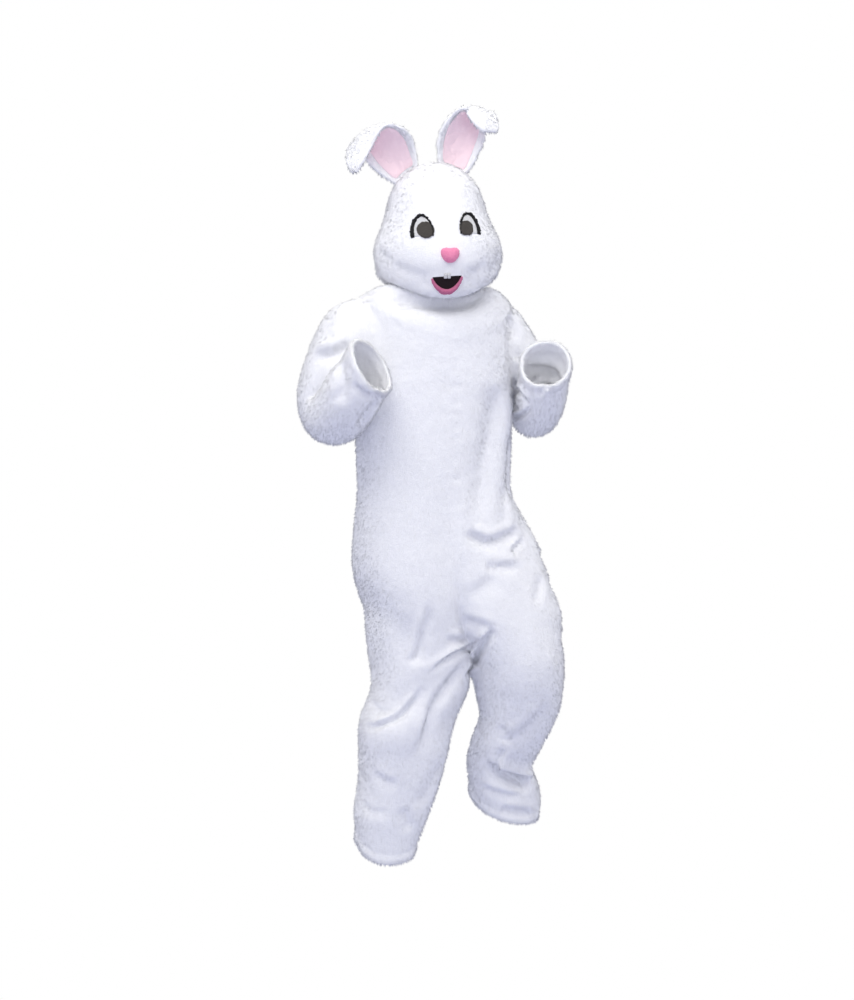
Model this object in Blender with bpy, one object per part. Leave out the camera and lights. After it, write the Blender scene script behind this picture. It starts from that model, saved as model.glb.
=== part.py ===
"""White rabbit mascot costume in a stepping pose: a one-piece plush suit and a hollow plush head.

Metres, +Z up. The origin is the middle of the suit's neck opening, the chest faces -Y and the
wearer's left is +X. The suit is one shared skin of rings. Each cut piece is a wall under its own
part of that skin, so that neighbours meet along a seam.
"""

import math

import bmesh
import bpy
import numpy as np
from mathutils import Matrix, Vector
from mathutils.bvhtree import BVHTree

for old in list(bpy.data.objects):
    bpy.data.objects.remove(old, do_unlink=True)

MM = 0.001
DEG = math.pi / 180

# Cloth
PLUSH = 5 * MM  # backing and pile
SEAM_HALF_GAP = 0.15 * MM
HEAD_WALL = 9 * MM  # foam under plush

# Rings: columns round one quarter panel, and rows down each stretch of the suit
PANEL_COLUMNS = 12
ARMHOLE_ROWS = 10
TRUNK_ROWS = 8
CROTCH_ROWS = 7
LEG_ROWS = 13
ARMHOLE_FOOT = -0.245
CROTCH_TOP = -0.60
CROTCH_Z = -0.92
CROTCH_Y = -0.03
SEAM_PULL = 0.5  # share of a panel that leans towards the crotch seam
SEAM_ROWS = 6  # leg rows over which the inseam swings back to the leg's inner side


def table(columns, *rows):
    return dict(zip(columns.split(), np.array(rows, float).T))


# Rings from the neck opening out over the shoulders; "top" is z on the shoulder line
YOKE = table(
    "row   right  left   front  back   top     front_z back_z",
    (0, 0.094, 0.094, 0.082, 0.080, 0.008, -0.008, 0.006),
    (1, 0.122, 0.120, 0.101, 0.096, 0.013, -0.024, 0.000),
    (2, 0.150, 0.145, 0.116, 0.108, 0.009, -0.047, -0.016),
    (3, 0.177, 0.168, 0.126, 0.115, -0.003, -0.075, -0.042),
    (4, 0.200, 0.188, 0.131, 0.118, -0.020, -0.110, -0.078),
)
ARMHOLE_DEPTH = 0.076  # half of its width front to back

# The body below the shoulders: "middle" is x of the centre seams, "right" and "left" are the
# distances from it to each side, "fore" moves that side's thigh forward
TRUNK = table(
    "z      middle right  left   front  back   fore_right fore_left",
    (-0.020, 0.000, 0.200, 0.188, 0.131, 0.118, 0.000, 0.000),
    (-0.130, 0.000, 0.203, 0.190, 0.134, 0.118, 0.000, 0.000),
    (-0.245, 0.000, 0.203, 0.187, 0.138, 0.119, 0.000, 0.000),
    (-0.395, 0.000, 0.208, 0.184, 0.144, 0.122, 0.000, 0.000),
    (-0.490, 0.000, 0.203, 0.179, 0.148, 0.128, 0.000, 0.000),
    (-0.570, 0.000, 0.207, 0.210, 0.154, 0.136, 0.000, -0.020),
    (-0.620, 0.000, 0.210, 0.233, 0.157, 0.141, 0.000, -0.038),
    (-0.670, 0.000, 0.210, 0.251, 0.158, 0.146, 0.000, -0.055),
    (-0.720, 0.000, 0.205, 0.258, 0.158, 0.150, 0.000, -0.066),
    (-0.770, 0.002, 0.207, 0.254, 0.156, 0.151, 0.000, -0.076),
    (-0.820, 0.020, 0.230, 0.234, 0.150, 0.146, -0.003, -0.086),
    (-0.870, 0.045, 0.238, 0.222, 0.140, 0.138, -0.006, -0.094),
    (-0.920, 0.070, 0.239, 0.220, 0.130, 0.128, -0.009, -0.097),
)
CORNER = 2.35  # superellipse exponents: 2 is an ellipse, more is squarer
SLEEVE_CORNER = 2.15
HEAD_CORNER = 2.1

# Legs below the crotch: centre of each ring and its half sizes
LEG_RIGHT = table(
    "z       x       y      wide   deep",
    (-0.920, -0.0495, -0.009, 0.1195, 0.129),
    (-0.970, -0.0460, -0.013, 0.1170, 0.125),
    (-1.020, -0.0640, -0.020, 0.1140, 0.119),
    (-1.070, -0.0880, -0.020, 0.1120, 0.116),
    (-1.120, -0.0935, -0.015, 0.1060, 0.112),
    (-1.170, -0.0981, -0.010, 0.1020, 0.107),
    (-1.220, -0.1050, -0.005, 0.0940, 0.100),
    (-1.270, -0.1140, 0.000, 0.0900, 0.095),
    (-1.320, -0.1258, 0.005, 0.0790, 0.090),
    (-1.350, -0.1300, 0.009, 0.0720, 0.087),
    (-1.378, -0.1350, 0.012, 0.0680, 0.086),
)
LEG_LEFT = table(
    "z       x       y      wide   deep",
    (-0.920, 0.1800, -0.097, 0.1100, 0.129),
    (-0.970, 0.1880, -0.090, 0.1050, 0.120),
    (-1.020, 0.1944, -0.075, 0.0930, 0.111),
    (-1.070, 0.1945, -0.055, 0.0865, 0.103),
    (-1.120, 0.1800, -0.030, 0.0810, 0.096),
    (-1.170, 0.1755, -0.002, 0.0800, 0.092),
    (-1.195, 0.1740, 0.010, 0.0775, 0.090),
    (-1.220, 0.1850, 0.020, 0.0850, 0.094),
    (-1.260, 0.1920, 0.032, 0.0840, 0.094),
    (-1.300, 0.1970, 0.042, 0.0820, 0.093),
)
LEGS = {-1: LEG_RIGHT, 1: LEG_LEFT}
# How far the hem drops at the front and on the outer side, below the middle of its ring
HEM_DROP = {-1: (0.034, 0.004), 1: (0.038, 0.012)}

# Sleeves: ring centres, the ring plane's lean from the armhole (deg), its bend at the elbow and its
# turn inwards (deg), half width, and the reach on the crook side and on the elbow side
ARM = "x      y      z      lean  bend  turn  half   crook  elbow"
ARM_RIGHT = table(
    ARM,
    (-0.223, 0.000, -0.135, 7.6, 0, 0, 0.114, 0.080, 0.080),
    (-0.241, 0.001, -0.149, 14.9, 0, 0, 0.107, 0.084, 0.084),
    (-0.258, 0.002, -0.174, 26.7, 0, 0, 0.094, 0.086, 0.086),
    (-0.272, 0.003, -0.207, 43.4, 0, 0, 0.079, 0.084, 0.088),
    (-0.283, 0.003, -0.240, 64.7, 4, 0, 0.071, 0.076, 0.088),
    (-0.286, 0.000, -0.270, 80.0, 16, 0, 0.070, 0.060, 0.086),
    (-0.284, -0.014, -0.293, 80.0, 42, 0, 0.070, 0.048, 0.083),
    (-0.281, -0.040, -0.303, 80.0, 70, 0, 0.070, 0.046, 0.080),
    (-0.277, -0.070, -0.297, 80.0, 96, 0, 0.070, 0.052, 0.077),
    (-0.270, -0.099, -0.279, 80.0, 116, 2, 0.070, 0.060, 0.074),
    (-0.261, -0.127, -0.252, 80.0, 126, 9, 0.069, 0.065, 0.072),
    (-0.248, -0.152, -0.222, 80.0, 124, 20, 0.068, 0.068, 0.070),
    (-0.231, -0.177, -0.191, 80.0, 119, 34, 0.068, 0.070, 0.070),
)
ARM_LEFT = table(
    ARM,
    (0.203, 0.002, -0.141, 3.0, 0, 0, 0.108, 0.078, 0.078),
    (0.214, 0.005, -0.155, 7.3, 0, 0, 0.099, 0.080, 0.080),
    (0.228, 0.008, -0.178, 17.0, 0, 0, 0.083, 0.080, 0.082),
    (0.242, 0.011, -0.207, 34.0, 0, 0, 0.068, 0.078, 0.084),
    (0.253, 0.012, -0.236, 53.6, 4, 0, 0.059, 0.070, 0.083),
    (0.255, 0.009, -0.264, 74.0, 16, 0, 0.054, 0.056, 0.080),
    (0.253, -0.004, -0.285, 80.0, 42, 0, 0.054, 0.046, 0.077),
    (0.250, -0.030, -0.292, 80.0, 70, 0, 0.054, 0.044, 0.074),
    (0.246, -0.060, -0.284, 80.0, 94, 0, 0.055, 0.050, 0.071),
    (0.241, -0.090, -0.264, 80.0, 112, 2, 0.057, 0.057, 0.068),
    (0.235, -0.117, -0.238, 80.0, 122, 6, 0.059, 0.061, 0.066),
    (0.229, -0.142, -0.210, 80.0, 123, 14, 0.061, 0.064, 0.066),
    (0.222, -0.167, -0.181, 80.0, 119, 24, 0.062, 0.066, 0.066),
)
ARMS = {-1: ARM_RIGHT, 1: ARM_LEFT}

# Largest folds: a line from one place to another on the skin, as height and angle round the ring
# from its front (deg, outer side 90, inner side of a leg -90); depth is out, negative is in
FOLDS = table(
    "side z1     angle1 z2     angle2 width  depth",
    (-1, -0.925, -50, -1.065, 80, 0.030, -0.014),  # thigh, crotch to the outer knee
    (-1, -0.900, 10, -1.030, 95, 0.034, 0.010),
    (-1, -1.085, 95, -1.075, 20, 0.028, 0.012),
    (-1, -0.970, -60, -1.170, 5, 0.032, -0.014),  # the long one, inner thigh to the shin
    (-1, -0.800, 35, -0.930, 45, 0.030, -0.008),
    (-1, -1.292, 110, -1.300, 30, 0.022, 0.012),  # cloth heaped over the shoe
    (-1, -1.258, 95, -1.275, 45, 0.016, -0.008),
    (1, -1.190, -40, -1.215, 70, 0.024, -0.024),  # deep fold over the shin
    (1, -1.240, 20, -1.245, 110, 0.020, 0.014),
    (1, -1.278, 50, -1.282, 110, 0.012, -0.010),
    (1, -1.295, 20, -1.300, 100, 0.016, 0.012),
    (1, -0.590, 62, -0.665, 35, 0.026, -0.014),  # drape held up at the hip
    (1, -0.560, 40, -0.600, 75, 0.024, 0.012),
    (1, -0.700, 95, -0.790, 82, 0.024, -0.010),
    (1, -0.280, 34, -0.500, 32, 0.026, -0.010),  # soft fold down the chest
    (1, -0.290, 50, -0.560, 46, 0.030, 0.006),
)
FOLD_STEPS = 9  # places along each fold's line

# Head: rings up from the neck opening; wide is half the width
HEAD_TURN = -11.0  # about +Z, towards the wearer's right (deg)
HEAD_ROLL = -2.0
HEAD_COLUMNS = 32
HEAD = table(
    "row side_z  front_z wide   front  back",
    (0, 0.022, -0.019, 0.106, 0.116, 0.104),
    (1, 0.024, -0.027, 0.126, 0.138, 0.122),
    (2, 0.037, -0.014, 0.143, 0.156, 0.136),
    (3, 0.060, 0.012, 0.153, 0.165, 0.146),
    (4, 0.088, 0.048, 0.1565, 0.171, 0.152),
    (5, 0.114, 0.084, 0.1560, 0.174, 0.156),
    (6, 0.138, 0.118, 0.1490, 0.167, 0.157),
    (7, 0.162, 0.150, 0.1410, 0.155, 0.155),
    (8, 0.188, 0.182, 0.1330, 0.143, 0.150),
    (9, 0.216, 0.214, 0.1240, 0.130, 0.142),
    (10, 0.244, 0.244, 0.1120, 0.117, 0.129),
    (11, 0.270, 0.270, 0.0960, 0.099, 0.110),
    (12, 0.292, 0.292, 0.0740, 0.076, 0.085),
    (13, 0.308, 0.308, 0.0460, 0.047, 0.052),
    (14, 0.318, 0.318, 0.0000, 0.000, 0.000),
)
HEAD_SHIFT = 0.003  # its middle, to the wearer's left of the neck
SMILE_DEPTH, SMILE_WIDTH, SMILE_STEPS = 2.5 * MM, 13 * MM, 7
SMILE_START, SMILE_END = (0.050, 0.028), (0.090, 0.052)  # x and z, on the wearer's left cheek
FINER = 4  # the skin that face pieces lie on has this many times the head's rings and columns

# Ears: rows up the middle of each, the direction across it, half width and how far its edges curl
EAR = "x      y      z      across_x across_y across_z half  cup"
EAR_RIGHT = table(
    EAR,
    (-0.071, 0.004, 0.292, 0.93, 0.00, 0.35, 0.034, 0.006),
    (-0.092, 0.000, 0.322, 0.93, -0.08, 0.38, 0.048, 0.012),
    (-0.110, -0.006, 0.354, 0.88, -0.28, 0.40, 0.058, 0.016),
    (-0.125, -0.013, 0.381, 0.74, -0.55, 0.40, 0.057, 0.018),
    (-0.145, -0.020, 0.396, 0.56, -0.74, 0.36, 0.052, 0.018),
    (-0.168, -0.028, 0.392, 0.48, -0.84, 0.18, 0.046, 0.015),
    (-0.186, -0.036, 0.370, 0.52, -0.83, -0.08, 0.040, 0.011),
    (-0.197, -0.043, 0.341, 0.58, -0.78, -0.22, 0.032, 0.007),
    (-0.202, -0.049, 0.314, 0.60, -0.75, -0.28, 0.021, 0.003),
    (-0.204, -0.053, 0.295, 0.60, -0.75, -0.28, 0.009, 0.000),
)
EAR_LEFT = table(
    EAR,
    (0.047, 0.004, 0.300, 0.97, 0.00, -0.18, 0.032, 0.006),
    (0.055, 0.000, 0.332, 0.97, 0.05, -0.22, 0.044, 0.012),
    (0.062, -0.004, 0.366, 0.94, 0.16, -0.28, 0.053, 0.016),
    (0.073, -0.008, 0.398, 0.88, 0.34, -0.34, 0.054, 0.018),
    (0.086, -0.014, 0.427, 0.80, 0.52, -0.32, 0.050, 0.017),
    (0.102, -0.024, 0.444, 0.74, 0.62, -0.12, 0.045, 0.012),
    (0.115, -0.037, 0.439, 0.72, 0.60, 0.14, 0.042, 0.008),
    (0.122, -0.047, 0.420, 0.72, 0.56, 0.32, 0.039, 0.005),
    (0.126, -0.053, 0.402, 0.72, 0.54, 0.36, 0.034, 0.002),
    (0.129, -0.057, 0.387, 0.72, 0.54, 0.36, 0.022, 0.000),
)
EAR_COLUMNS = 8
EAR_WALL = 6 * MM
EAR_LINING = 2 * MM
LINING_START = 0.25  # share of the ear's first row below the lining
EAR_FOOT = 2.5 * MM  # the ear's foot stands this far off the head

# Face pieces, in the head's own frame: x and z of middles, half sizes
LIFT = 0.5 * MM  # what is sewn on stands this far off its panel
TOUCH = 0.3 * MM  # gap between face pieces that lie on each other
BESIDE = 0.6 * MM  # gap between face pieces that lie side by side
FELT = 2 * MM
MESH = 1.2 * MM  # see-through fabric of the pupils and mouth
EYE = table(
    "side middle_x foot_z  half_w half_h pupil_x pupil_z pupil_r",
    (-1, -0.0580, 0.127, 0.0275, 0.052, -0.0565, 0.1450, 0.0200),
    (1, 0.0570, 0.131, 0.0265, 0.051, 0.0545, 0.1475, 0.0180),
)
LASH = 6.5 * MM  # width of the black arch where it is thickest
NOSE_X, NOSE_TOP, NOSE_FOOT, NOSE_HALF = 0.003, 0.0930, 0.0565, 0.0225
NOSE_HEIGHT = 11 * MM
MOUTH_X, MOUTH_TOP, MOUTH_FOOT = -0.001, 0.0210, -0.0030
MOUTH_HALF, LIP, LIP_HEIGHT = 0.0240, 13 * MM, 6 * MM
TOOTH_W, TOOTH_H = 7.5 * MM, 9 * MM

# Closure down the centre back
ZIP_TOP, ZIP_FOOT, ZIP_HALF, ZIP_LIFT = -0.012, -0.600, 7 * MM, 1 * MM
SAME = 1e-6  # places nearer than this are one
SLIDER_W, SLIDER_H, SLIDER_BASE, SLIDER_LUG = 9 * MM, 10 * MM, 3 * MM, 5 * MM
SLIDER_SLOT, SLIDER_Z, PIVOT_OUT = 4 * MM, -0.036, 3.2 * MM
PULL_NECK, PULL_W, PULL_LONG, PULL_THICK = 3.2 * MM, 9 * MM, 34 * MM, 1.6 * MM

COLOURS = {
    "white_plush": ((0.86, 0.87, 0.90), 0.95),
    "pink_satin": ((0.88, 0.55, 0.60), 0.60),
    "white_felt": ((0.80, 0.80, 0.80), 0.85),
    "dark_mesh": ((0.06, 0.055, 0.05), 0.75),
    "black_felt": ((0.010, 0.010, 0.011), 0.90),
    "nose_pink": ((0.82, 0.22, 0.38), 0.80),
    "rose_felt": ((0.45, 0.12, 0.22), 0.85),
    "zip_tape": ((0.80, 0.80, 0.81), 0.80),
    "zip_metal": ((0.60, 0.60, 0.61), 0.35),
}
METALS = {"zip_metal"}


def material(name):
    made = bpy.data.materials.get(name)
    if made:
        return made
    made = bpy.data.materials.new(name)
    made.use_nodes = True
    shader = made.node_tree.nodes["Principled BSDF"]
    colour, roughness = COLOURS[name]
    shader.inputs["Base Color"].default_value = (*colour, 1)
    shader.inputs["Roughness"].default_value = roughness
    shader.inputs["Metallic"].default_value = 1.0 if name in METALS else 0.0
    made.diffuse_color = (*colour, 1)
    return made


def read(rows, column, at):
    """A smooth curve through one column of a table, against its first column, with no overshoot."""
    keys = next(iter(rows.values()))
    values = rows[column]
    if keys[0] > keys[-1]:
        keys, values = keys[::-1], values[::-1]
    at = min(max(at, keys[0]), keys[-1])
    place = min(int(np.searchsorted(keys, at, "right")) - 1, len(keys) - 2)
    steps = np.diff(keys)
    rises = np.diff(values) / steps
    slopes = np.zeros(len(keys))
    same = rises[1:] * rises[:-1] > 0
    slopes[1:-1][same] = (2 * rises[1:] * rises[:-1])[same] / (rises[1:] + rises[:-1])[same]
    slopes[0], slopes[-1] = rises[0], rises[-1]
    step = steps[place]
    t = (at - keys[place]) / step
    return (
        values[place] * (1 + 2 * t) * (1 - t) ** 2
        + slopes[place] * step * t * (1 - t) ** 2
        + values[place + 1] * t * t * (3 - 2 * t)
        + slopes[place + 1] * step * t * t * (t - 1)
    )


def power(value, corner):
    return math.copysign(abs(value) ** (2 / corner), value)


# %% One skin for the whole suit


class Skin:
    """Points shared by all the pieces, and each piece's faces, which look outwards."""

    def __init__(self):
        self.points = []
        self.places = {}
        self.pieces = {}

    def add(self, point):
        key = tuple(round(value * 1e6) for value in point)
        if key not in self.places:
            self.places[key] = len(self.points)
            self.points.append(np.array(point, float))
        return self.places[key]

    def grid(self, piece, rows, flip):
        """Faces between the points of neighbouring rows; a face that shrinks to a corner is a triangle."""
        indices = [[self.add(point) for point in row] for row in rows]
        faces = self.pieces.setdefault(piece, [])
        for upper, lower in zip(indices, indices[1:]):
            for a, b, c, d in zip(upper, lower, lower[1:], upper[1:]):
                face = list(dict.fromkeys((a, b, c, d)))
                if len(face) > 2:
                    faces.append(face[::-1] if flip else face)

    def normals(self):
        points = np.array(self.points)
        total = np.zeros_like(points)
        for faces in self.pieces.values():
            for face in faces:
                corners = points[face]
                turned = np.roll(corners, -1, axis=0)
                total[face] += np.cross(corners, turned).sum(axis=0)
        return total / np.linalg.norm(total, axis=1)[:, None]

    def bvh(self, names):
        faces = [face for name in names for face in self.pieces[name]]
        return BVHTree.FromPolygons([Vector(point) for point in self.points], faces)

    def wall(self, piece, thickness, cloth, normals):
        """One closed solid under this piece's faces, drawn back a little from its own edges."""
        points = np.array(self.points)
        faces = self.pieces[piece]
        directed = {(a, b) for face in faces for a, b in zip(face, face[1:] + face[:1])}
        edges = [(a, b) for a, b in directed if (b, a) not in directed]
        inwards = np.zeros_like(points)
        for a, b in edges:
            along = points[b] - points[a]
            for end in (a, b):
                inward = np.cross(normals[end], along)
                inwards[end] += inward / np.linalg.norm(inward)
        used = sorted({index for face in faces for index in face})
        order = {index: place for place, index in enumerate(used)}
        count = len(used)
        outer = points[used]
        for place, index in enumerate(used):
            length = np.linalg.norm(inwards[index])
            if length > 0.1:
                outer[place] += inwards[index] / length * SEAM_HALF_GAP
        inner = outer - normals[used] * thickness
        solid = [[order[index] for index in face] for face in faces]
        solid += [[order[index] + count for index in face[::-1]] for face in faces]
        for a, b in edges:
            near, far = order[a], order[b]
            if a < b:  # one diagonal for both sides of a seam, so that its gap stays even
                solid += [[far, near, far + count], [near, near + count, far + count]]
            else:
                solid += [[far, near, near + count], [far, near + count, far + count]]
        return build(piece, np.vstack([outer, inner]), solid, cloth)


def build(name, points, faces, cloth):
    mesh = bpy.data.meshes.new(name)
    mesh.from_pydata([tuple(point) for point in points], [], faces)
    shape = bmesh.new()
    shape.from_mesh(mesh)
    bmesh.ops.recalc_face_normals(shape, faces=shape.faces)
    shape.to_mesh(mesh)
    shape.free()
    mesh.shade_smooth()
    mesh.set_sharp_from_angle(angle=50 * DEG)
    mesh.materials.append(material(cloth))
    made = bpy.data.objects.new(name, mesh)
    bpy.context.scene.collection.objects.link(made)
    return made


def suit_ring(side, row):
    """One ring of half the suit: its front part and its back part, with a hole between at the armhole."""
    start = math.asin(row["open"])
    hole = row["hole"]
    points = {}
    for part in ("front", "back"):
        depth = row[part]
        edge = math.acos(min(1.0, (hole / depth) ** (CORNER / 2))) if hole else math.pi / 2
        line = []
        for step in range(PANEL_COLUMNS + 1):
            angle = -start + (edge + start) * step / PANEL_COLUMNS
            out = math.sin(angle)
            reach = row["outer"] if out > 0 else row["inner"]
            x = row["middle"] + side * (row["open"] * row["inner"] + reach * power(out, CORNER))
            toward = -1 if part == "front" else 1
            y = toward * depth * power(math.cos(angle), CORNER)
            weight = max(0.0, out) ** 2
            y += row["fore"] * (row["open"] + (1 - row["open"]) * weight)
            z = row[part + "_z"] + (row["side_z"] - row[part + "_z"]) * weight
            near = max(0.0, 1 - step / (SEAM_PULL * PANEL_COLUMNS)) ** 2
            if step == 0:
                pull = np.array((row["middle"] - x, row["seam_y"][part] - y))
                x, y = row["middle"], row["seam_y"][part]
            else:
                x, y = np.array((x, y)) + near * pull
            line.append((x, y, z))
        points[part] = line
    return points


def suit_rows(side):
    own = "left" if side > 0 else "right"
    rows = []

    def trunk(z, edge_z, front_z, back_z, opened, hole):
        outer = read(TRUNK, own, z)
        inner = outer / 2
        closed = math.sqrt(1 - opened**2)
        rows.append(
            suit_ring(
                side,
                {
                    "middle": read(TRUNK, "middle", edge_z),
                    "outer": outer - opened * inner,
                    "inner": inner,
                    "front": read(TRUNK, "front", edge_z),
                    "back": read(TRUNK, "back", edge_z),
                    "fore": read(TRUNK, "fore_" + own, z),
                    "side_z": z,
                    "front_z": front_z,
                    "back_z": back_z,
                    "open": opened,
                    "hole": hole,
                    "seam_y": {
                        "front": CROTCH_Y * opened - read(TRUNK, "front", edge_z) * closed,
                        "back": CROTCH_Y * opened + read(TRUNK, "back", edge_z) * closed,
                    },
                },
            )
        )

    for index in range(len(YOKE["row"])):
        values = {name: YOKE[name][index] for name in YOKE}
        rows.append(
            suit_ring(
                side,
                {
                    "middle": 0.0,
                    "outer": values[own],
                    "inner": values[own],
                    "front": values["front"],
                    "back": values["back"],
                    "fore": 0.0,
                    "side_z": values["top"],
                    "front_z": values["front_z"],
                    "back_z": values["back_z"],
                    "open": 0.0,
                    "hole": 0.0,
                    "seam_y": {"front": -values["front"], "back": values["back"]},
                },
            )
        )
    top, foot = YOKE["top"][-1], ARMHOLE_FOOT
    for step in range(1, ARMHOLE_ROWS + 1):
        turn = math.pi * step / ARMHOLE_ROWS
        share = (1 - math.cos(turn)) / 2
        z = top + (foot - top) * share
        hole = ARMHOLE_DEPTH * math.sin(turn) if step < ARMHOLE_ROWS else 0.0
        even = step / ARMHOLE_ROWS
        front_z = YOKE["front_z"][-1] + (foot - YOKE["front_z"][-1]) * even
        back_z = YOKE["back_z"][-1] + (foot - YOKE["back_z"][-1]) * even
        trunk(z, z, front_z, back_z, 0.0, hole)
    for step in range(1, TRUNK_ROWS + 1):
        z = foot + (CROTCH_TOP - foot) * step / TRUNK_ROWS
        trunk(z, z, z, z, 0.0, 0.0)
    for step in range(1, CROTCH_ROWS + 1):
        opened = math.sin(math.pi / 2 * step / CROTCH_ROWS)
        z = CROTCH_TOP + (CROTCH_Z - CROTCH_TOP) * step / CROTCH_ROWS
        edge_z = CROTCH_TOP + (CROTCH_Z - CROTCH_TOP) * opened
        trunk(z, edge_z, edge_z, edge_z, opened, 0.0)
    leg = LEGS[side]
    hem = leg["z"][-1]
    front_drop, outer_drop = HEM_DROP[side]
    for step in range(1, LEG_ROWS + 1):
        share = step / LEG_ROWS
        z = CROTCH_Z + (hem - CROTCH_Z) * share
        deep = read(leg, "deep", z)
        wide = read(leg, "wide", z)
        y = read(leg, "y", z)
        seam_y = y + (CROTCH_Y - y) * max(0.0, 1 - step / SEAM_ROWS) ** 2
        ring = suit_ring(
            side,
            {
                "middle": read(leg, "x", z) - side * wide,
                "outer": wide,
                "inner": wide,
                "front": deep,
                "back": deep,
                "fore": y,
                "side_z": z,
                "front_z": z,
                "back_z": z,
                "open": 1.0,
                "hole": 0.0,
                "seam_y": {"front": seam_y, "back": seam_y},
            },
        )
        for part, line in ring.items():
            for place, (at_x, at_y, height) in enumerate(line):
                to_front = (y - at_y) / deep
                to_side = side * (at_x - read(leg, "x", z)) / wide
                height -= share**2 * (front_drop * to_front + outer_drop * to_side)
                line[place] = (at_x, at_y, height)
        rows.append(ring)
    return rows


def sleeve_ring(side, row):
    """A ring of a sleeve, from its top round the front. Lean tips its plane down, bend is the elbow's."""
    values = {name: ARMS[side][name][row] for name in ARMS[side]}
    lean, bend, turn = (values[name] * DEG for name in ("lean", "bend", "turn"))
    out = np.array((side * math.sin(lean), 0, math.cos(lean)))
    down = np.array((side * math.cos(lean), 0, -math.sin(lean)))
    front = math.cos(bend) * np.array((0, -1, 0)) - math.sin(bend) * down
    spin = np.array(Matrix.Rotation(-side * turn, 3, "Z"))
    out, front = spin @ out, spin @ front
    middle = np.array((values["x"], values["y"], values["z"]))
    ring = []
    for step in range(2 * ARMHOLE_ROWS):
        angle = math.pi * step / ARMHOLE_ROWS
        reach = values["crook"] if math.sin(angle) > 0 else values["elbow"]
        ring.append(
            middle + values["half"] * power(math.cos(angle), SLEEVE_CORNER) * out
            + reach * power(math.sin(angle), SLEEVE_CORNER) * front
        )
    return ring


def make_suit():
    skin = Skin()
    for side, own in ((-1, "right"), (1, "left")):
        rows = suit_rows(side)
        for part in ("front", "back"):
            flip = (side > 0) == (part == "back")
            skin.grid(f"{part}_{own}", [row[part] for row in rows], flip)
        first = len(YOKE["row"]) - 1
        armhole = [rows[first + step]["front"][-1] for step in range(ARMHOLE_ROWS)]
        armhole += [rows[first + step]["back"][-1] for step in range(ARMHOLE_ROWS, 0, -1)]
        loops = [armhole] + [sleeve_ring(side, row) for row in range(len(ARMS[side]["x"]))]
        skin.grid(f"sleeve_{own}", [list(loop) + [loop[0]] for loop in loops], side > 0)
    add_folds(skin)
    return skin


def on_ring(side, z, angle):
    """The place on the body or leg at this height and this angle round from the front (deg)."""
    if z < CROTCH_Z:
        leg = LEGS[side]
        x, y, wide, deep = (read(leg, name, z) for name in ("x", "y", "wide", "deep"))
        return np.array((x + side * wide * math.sin(angle * DEG), y - deep * math.cos(angle * DEG), z))
    own = "left" if side > 0 else "right"
    wide = read(TRUNK, own, z)
    depth = read(TRUNK, "front" if abs(angle) < 90 else "back", z)
    x = read(TRUNK, "middle", z) + side * wide * power(math.sin(angle * DEG), CORNER)
    y = -depth * power(math.cos(angle * DEG), CORNER)
    return np.array((x, y + read(TRUNK, "fore_" + own, z) * math.sin(angle * DEG) ** 2, z))


def add_folds(skin):
    points = np.array(skin.points)
    normals = skin.normals()
    moved = np.zeros(len(points))
    for row in range(len(FOLDS["side"])):
        fold = {name: FOLDS[name][row] for name in FOLDS}
        side = int(fold["side"])
        strongest = np.zeros(len(points))
        for share in np.linspace(0, 1, FOLD_STEPS):
            z = fold["z1"] + (fold["z2"] - fold["z1"]) * share
            angle = fold["angle1"] + (fold["angle2"] - fold["angle1"]) * share
            place = on_ring(side, z, angle)
            facing = place - on_ring(side, z, angle + 180)
            facing /= np.linalg.norm(facing)
            distance = np.linalg.norm(points - place, axis=1) / fold["width"]
            taper = math.sin(math.pi * (0.12 + 0.76 * share))
            shape = taper * np.exp(-(distance**2)) * np.clip(2 * normals @ facing, 0, 1)
            strongest = np.maximum(strongest, shape)
        moved += fold["depth"] * strongest
    for index, shift in enumerate(moved):
        skin.points[index] = points[index] + normals[index] * shift


# %% Head


def head_point(row, angle):
    """A place on the head's skin, in its own frame; row may fall between the table's rows."""
    wide = read(HEAD, "wide", row)
    part = "front" if math.cos(angle) > 0 else "back"
    depth = read(HEAD, part, row)
    toward = 1 if part == "front" else -1
    side_z = read(HEAD, "side_z", row)
    centre_z = read(HEAD, "front_z", row) if part == "front" else side_z
    x = wide * power(math.sin(angle), HEAD_CORNER)
    y = -depth * power(math.cos(angle), HEAD_CORNER)
    z = side_z + (centre_z - side_z) * max(0.0, toward * math.cos(angle)) ** 2
    return np.array((x, y, z))


def smile(points, normals):
    """A soft crease on each cheek, from beside the mouth up and out."""
    moved = points.copy()
    for side in (-1, 1):
        for share in np.linspace(0, 1, SMILE_STEPS):
            x = SMILE_START[0] + (SMILE_END[0] - SMILE_START[0]) * share
            z = SMILE_START[1] + (SMILE_END[1] - SMILE_START[1]) * share**1.5
            near = np.hypot(points[:, 0] - side * x, points[:, 2] - z) / SMILE_WIDTH
            gain = np.exp(-(near**2)) * (points[:, 1] < 0)
            shift = gain * math.sin(math.pi * (0.15 + 0.7 * share)) * SMILE_DEPTH
            moved -= normals * shift[:, None]
    return moved


def head_skin(columns, rows):
    """The head as a skin of two pieces, front and back, that meet at the sides and over the crown."""
    skin = Skin()
    last = HEAD["row"][-1]
    levels = [last * step / rows for step in range(rows + 1)]
    half = columns // 2
    for piece, start in (("head_front", -math.pi / 2), ("head_back", math.pi / 2)):
        turns = [start + math.pi * step / half for step in range(half + 1)]
        skin.grid(piece, [[head_point(level, turn) for turn in turns] for level in levels], True)
    normals = skin.normals()
    skin.points = list(smile(np.array(skin.points), normals))
    return skin


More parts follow.
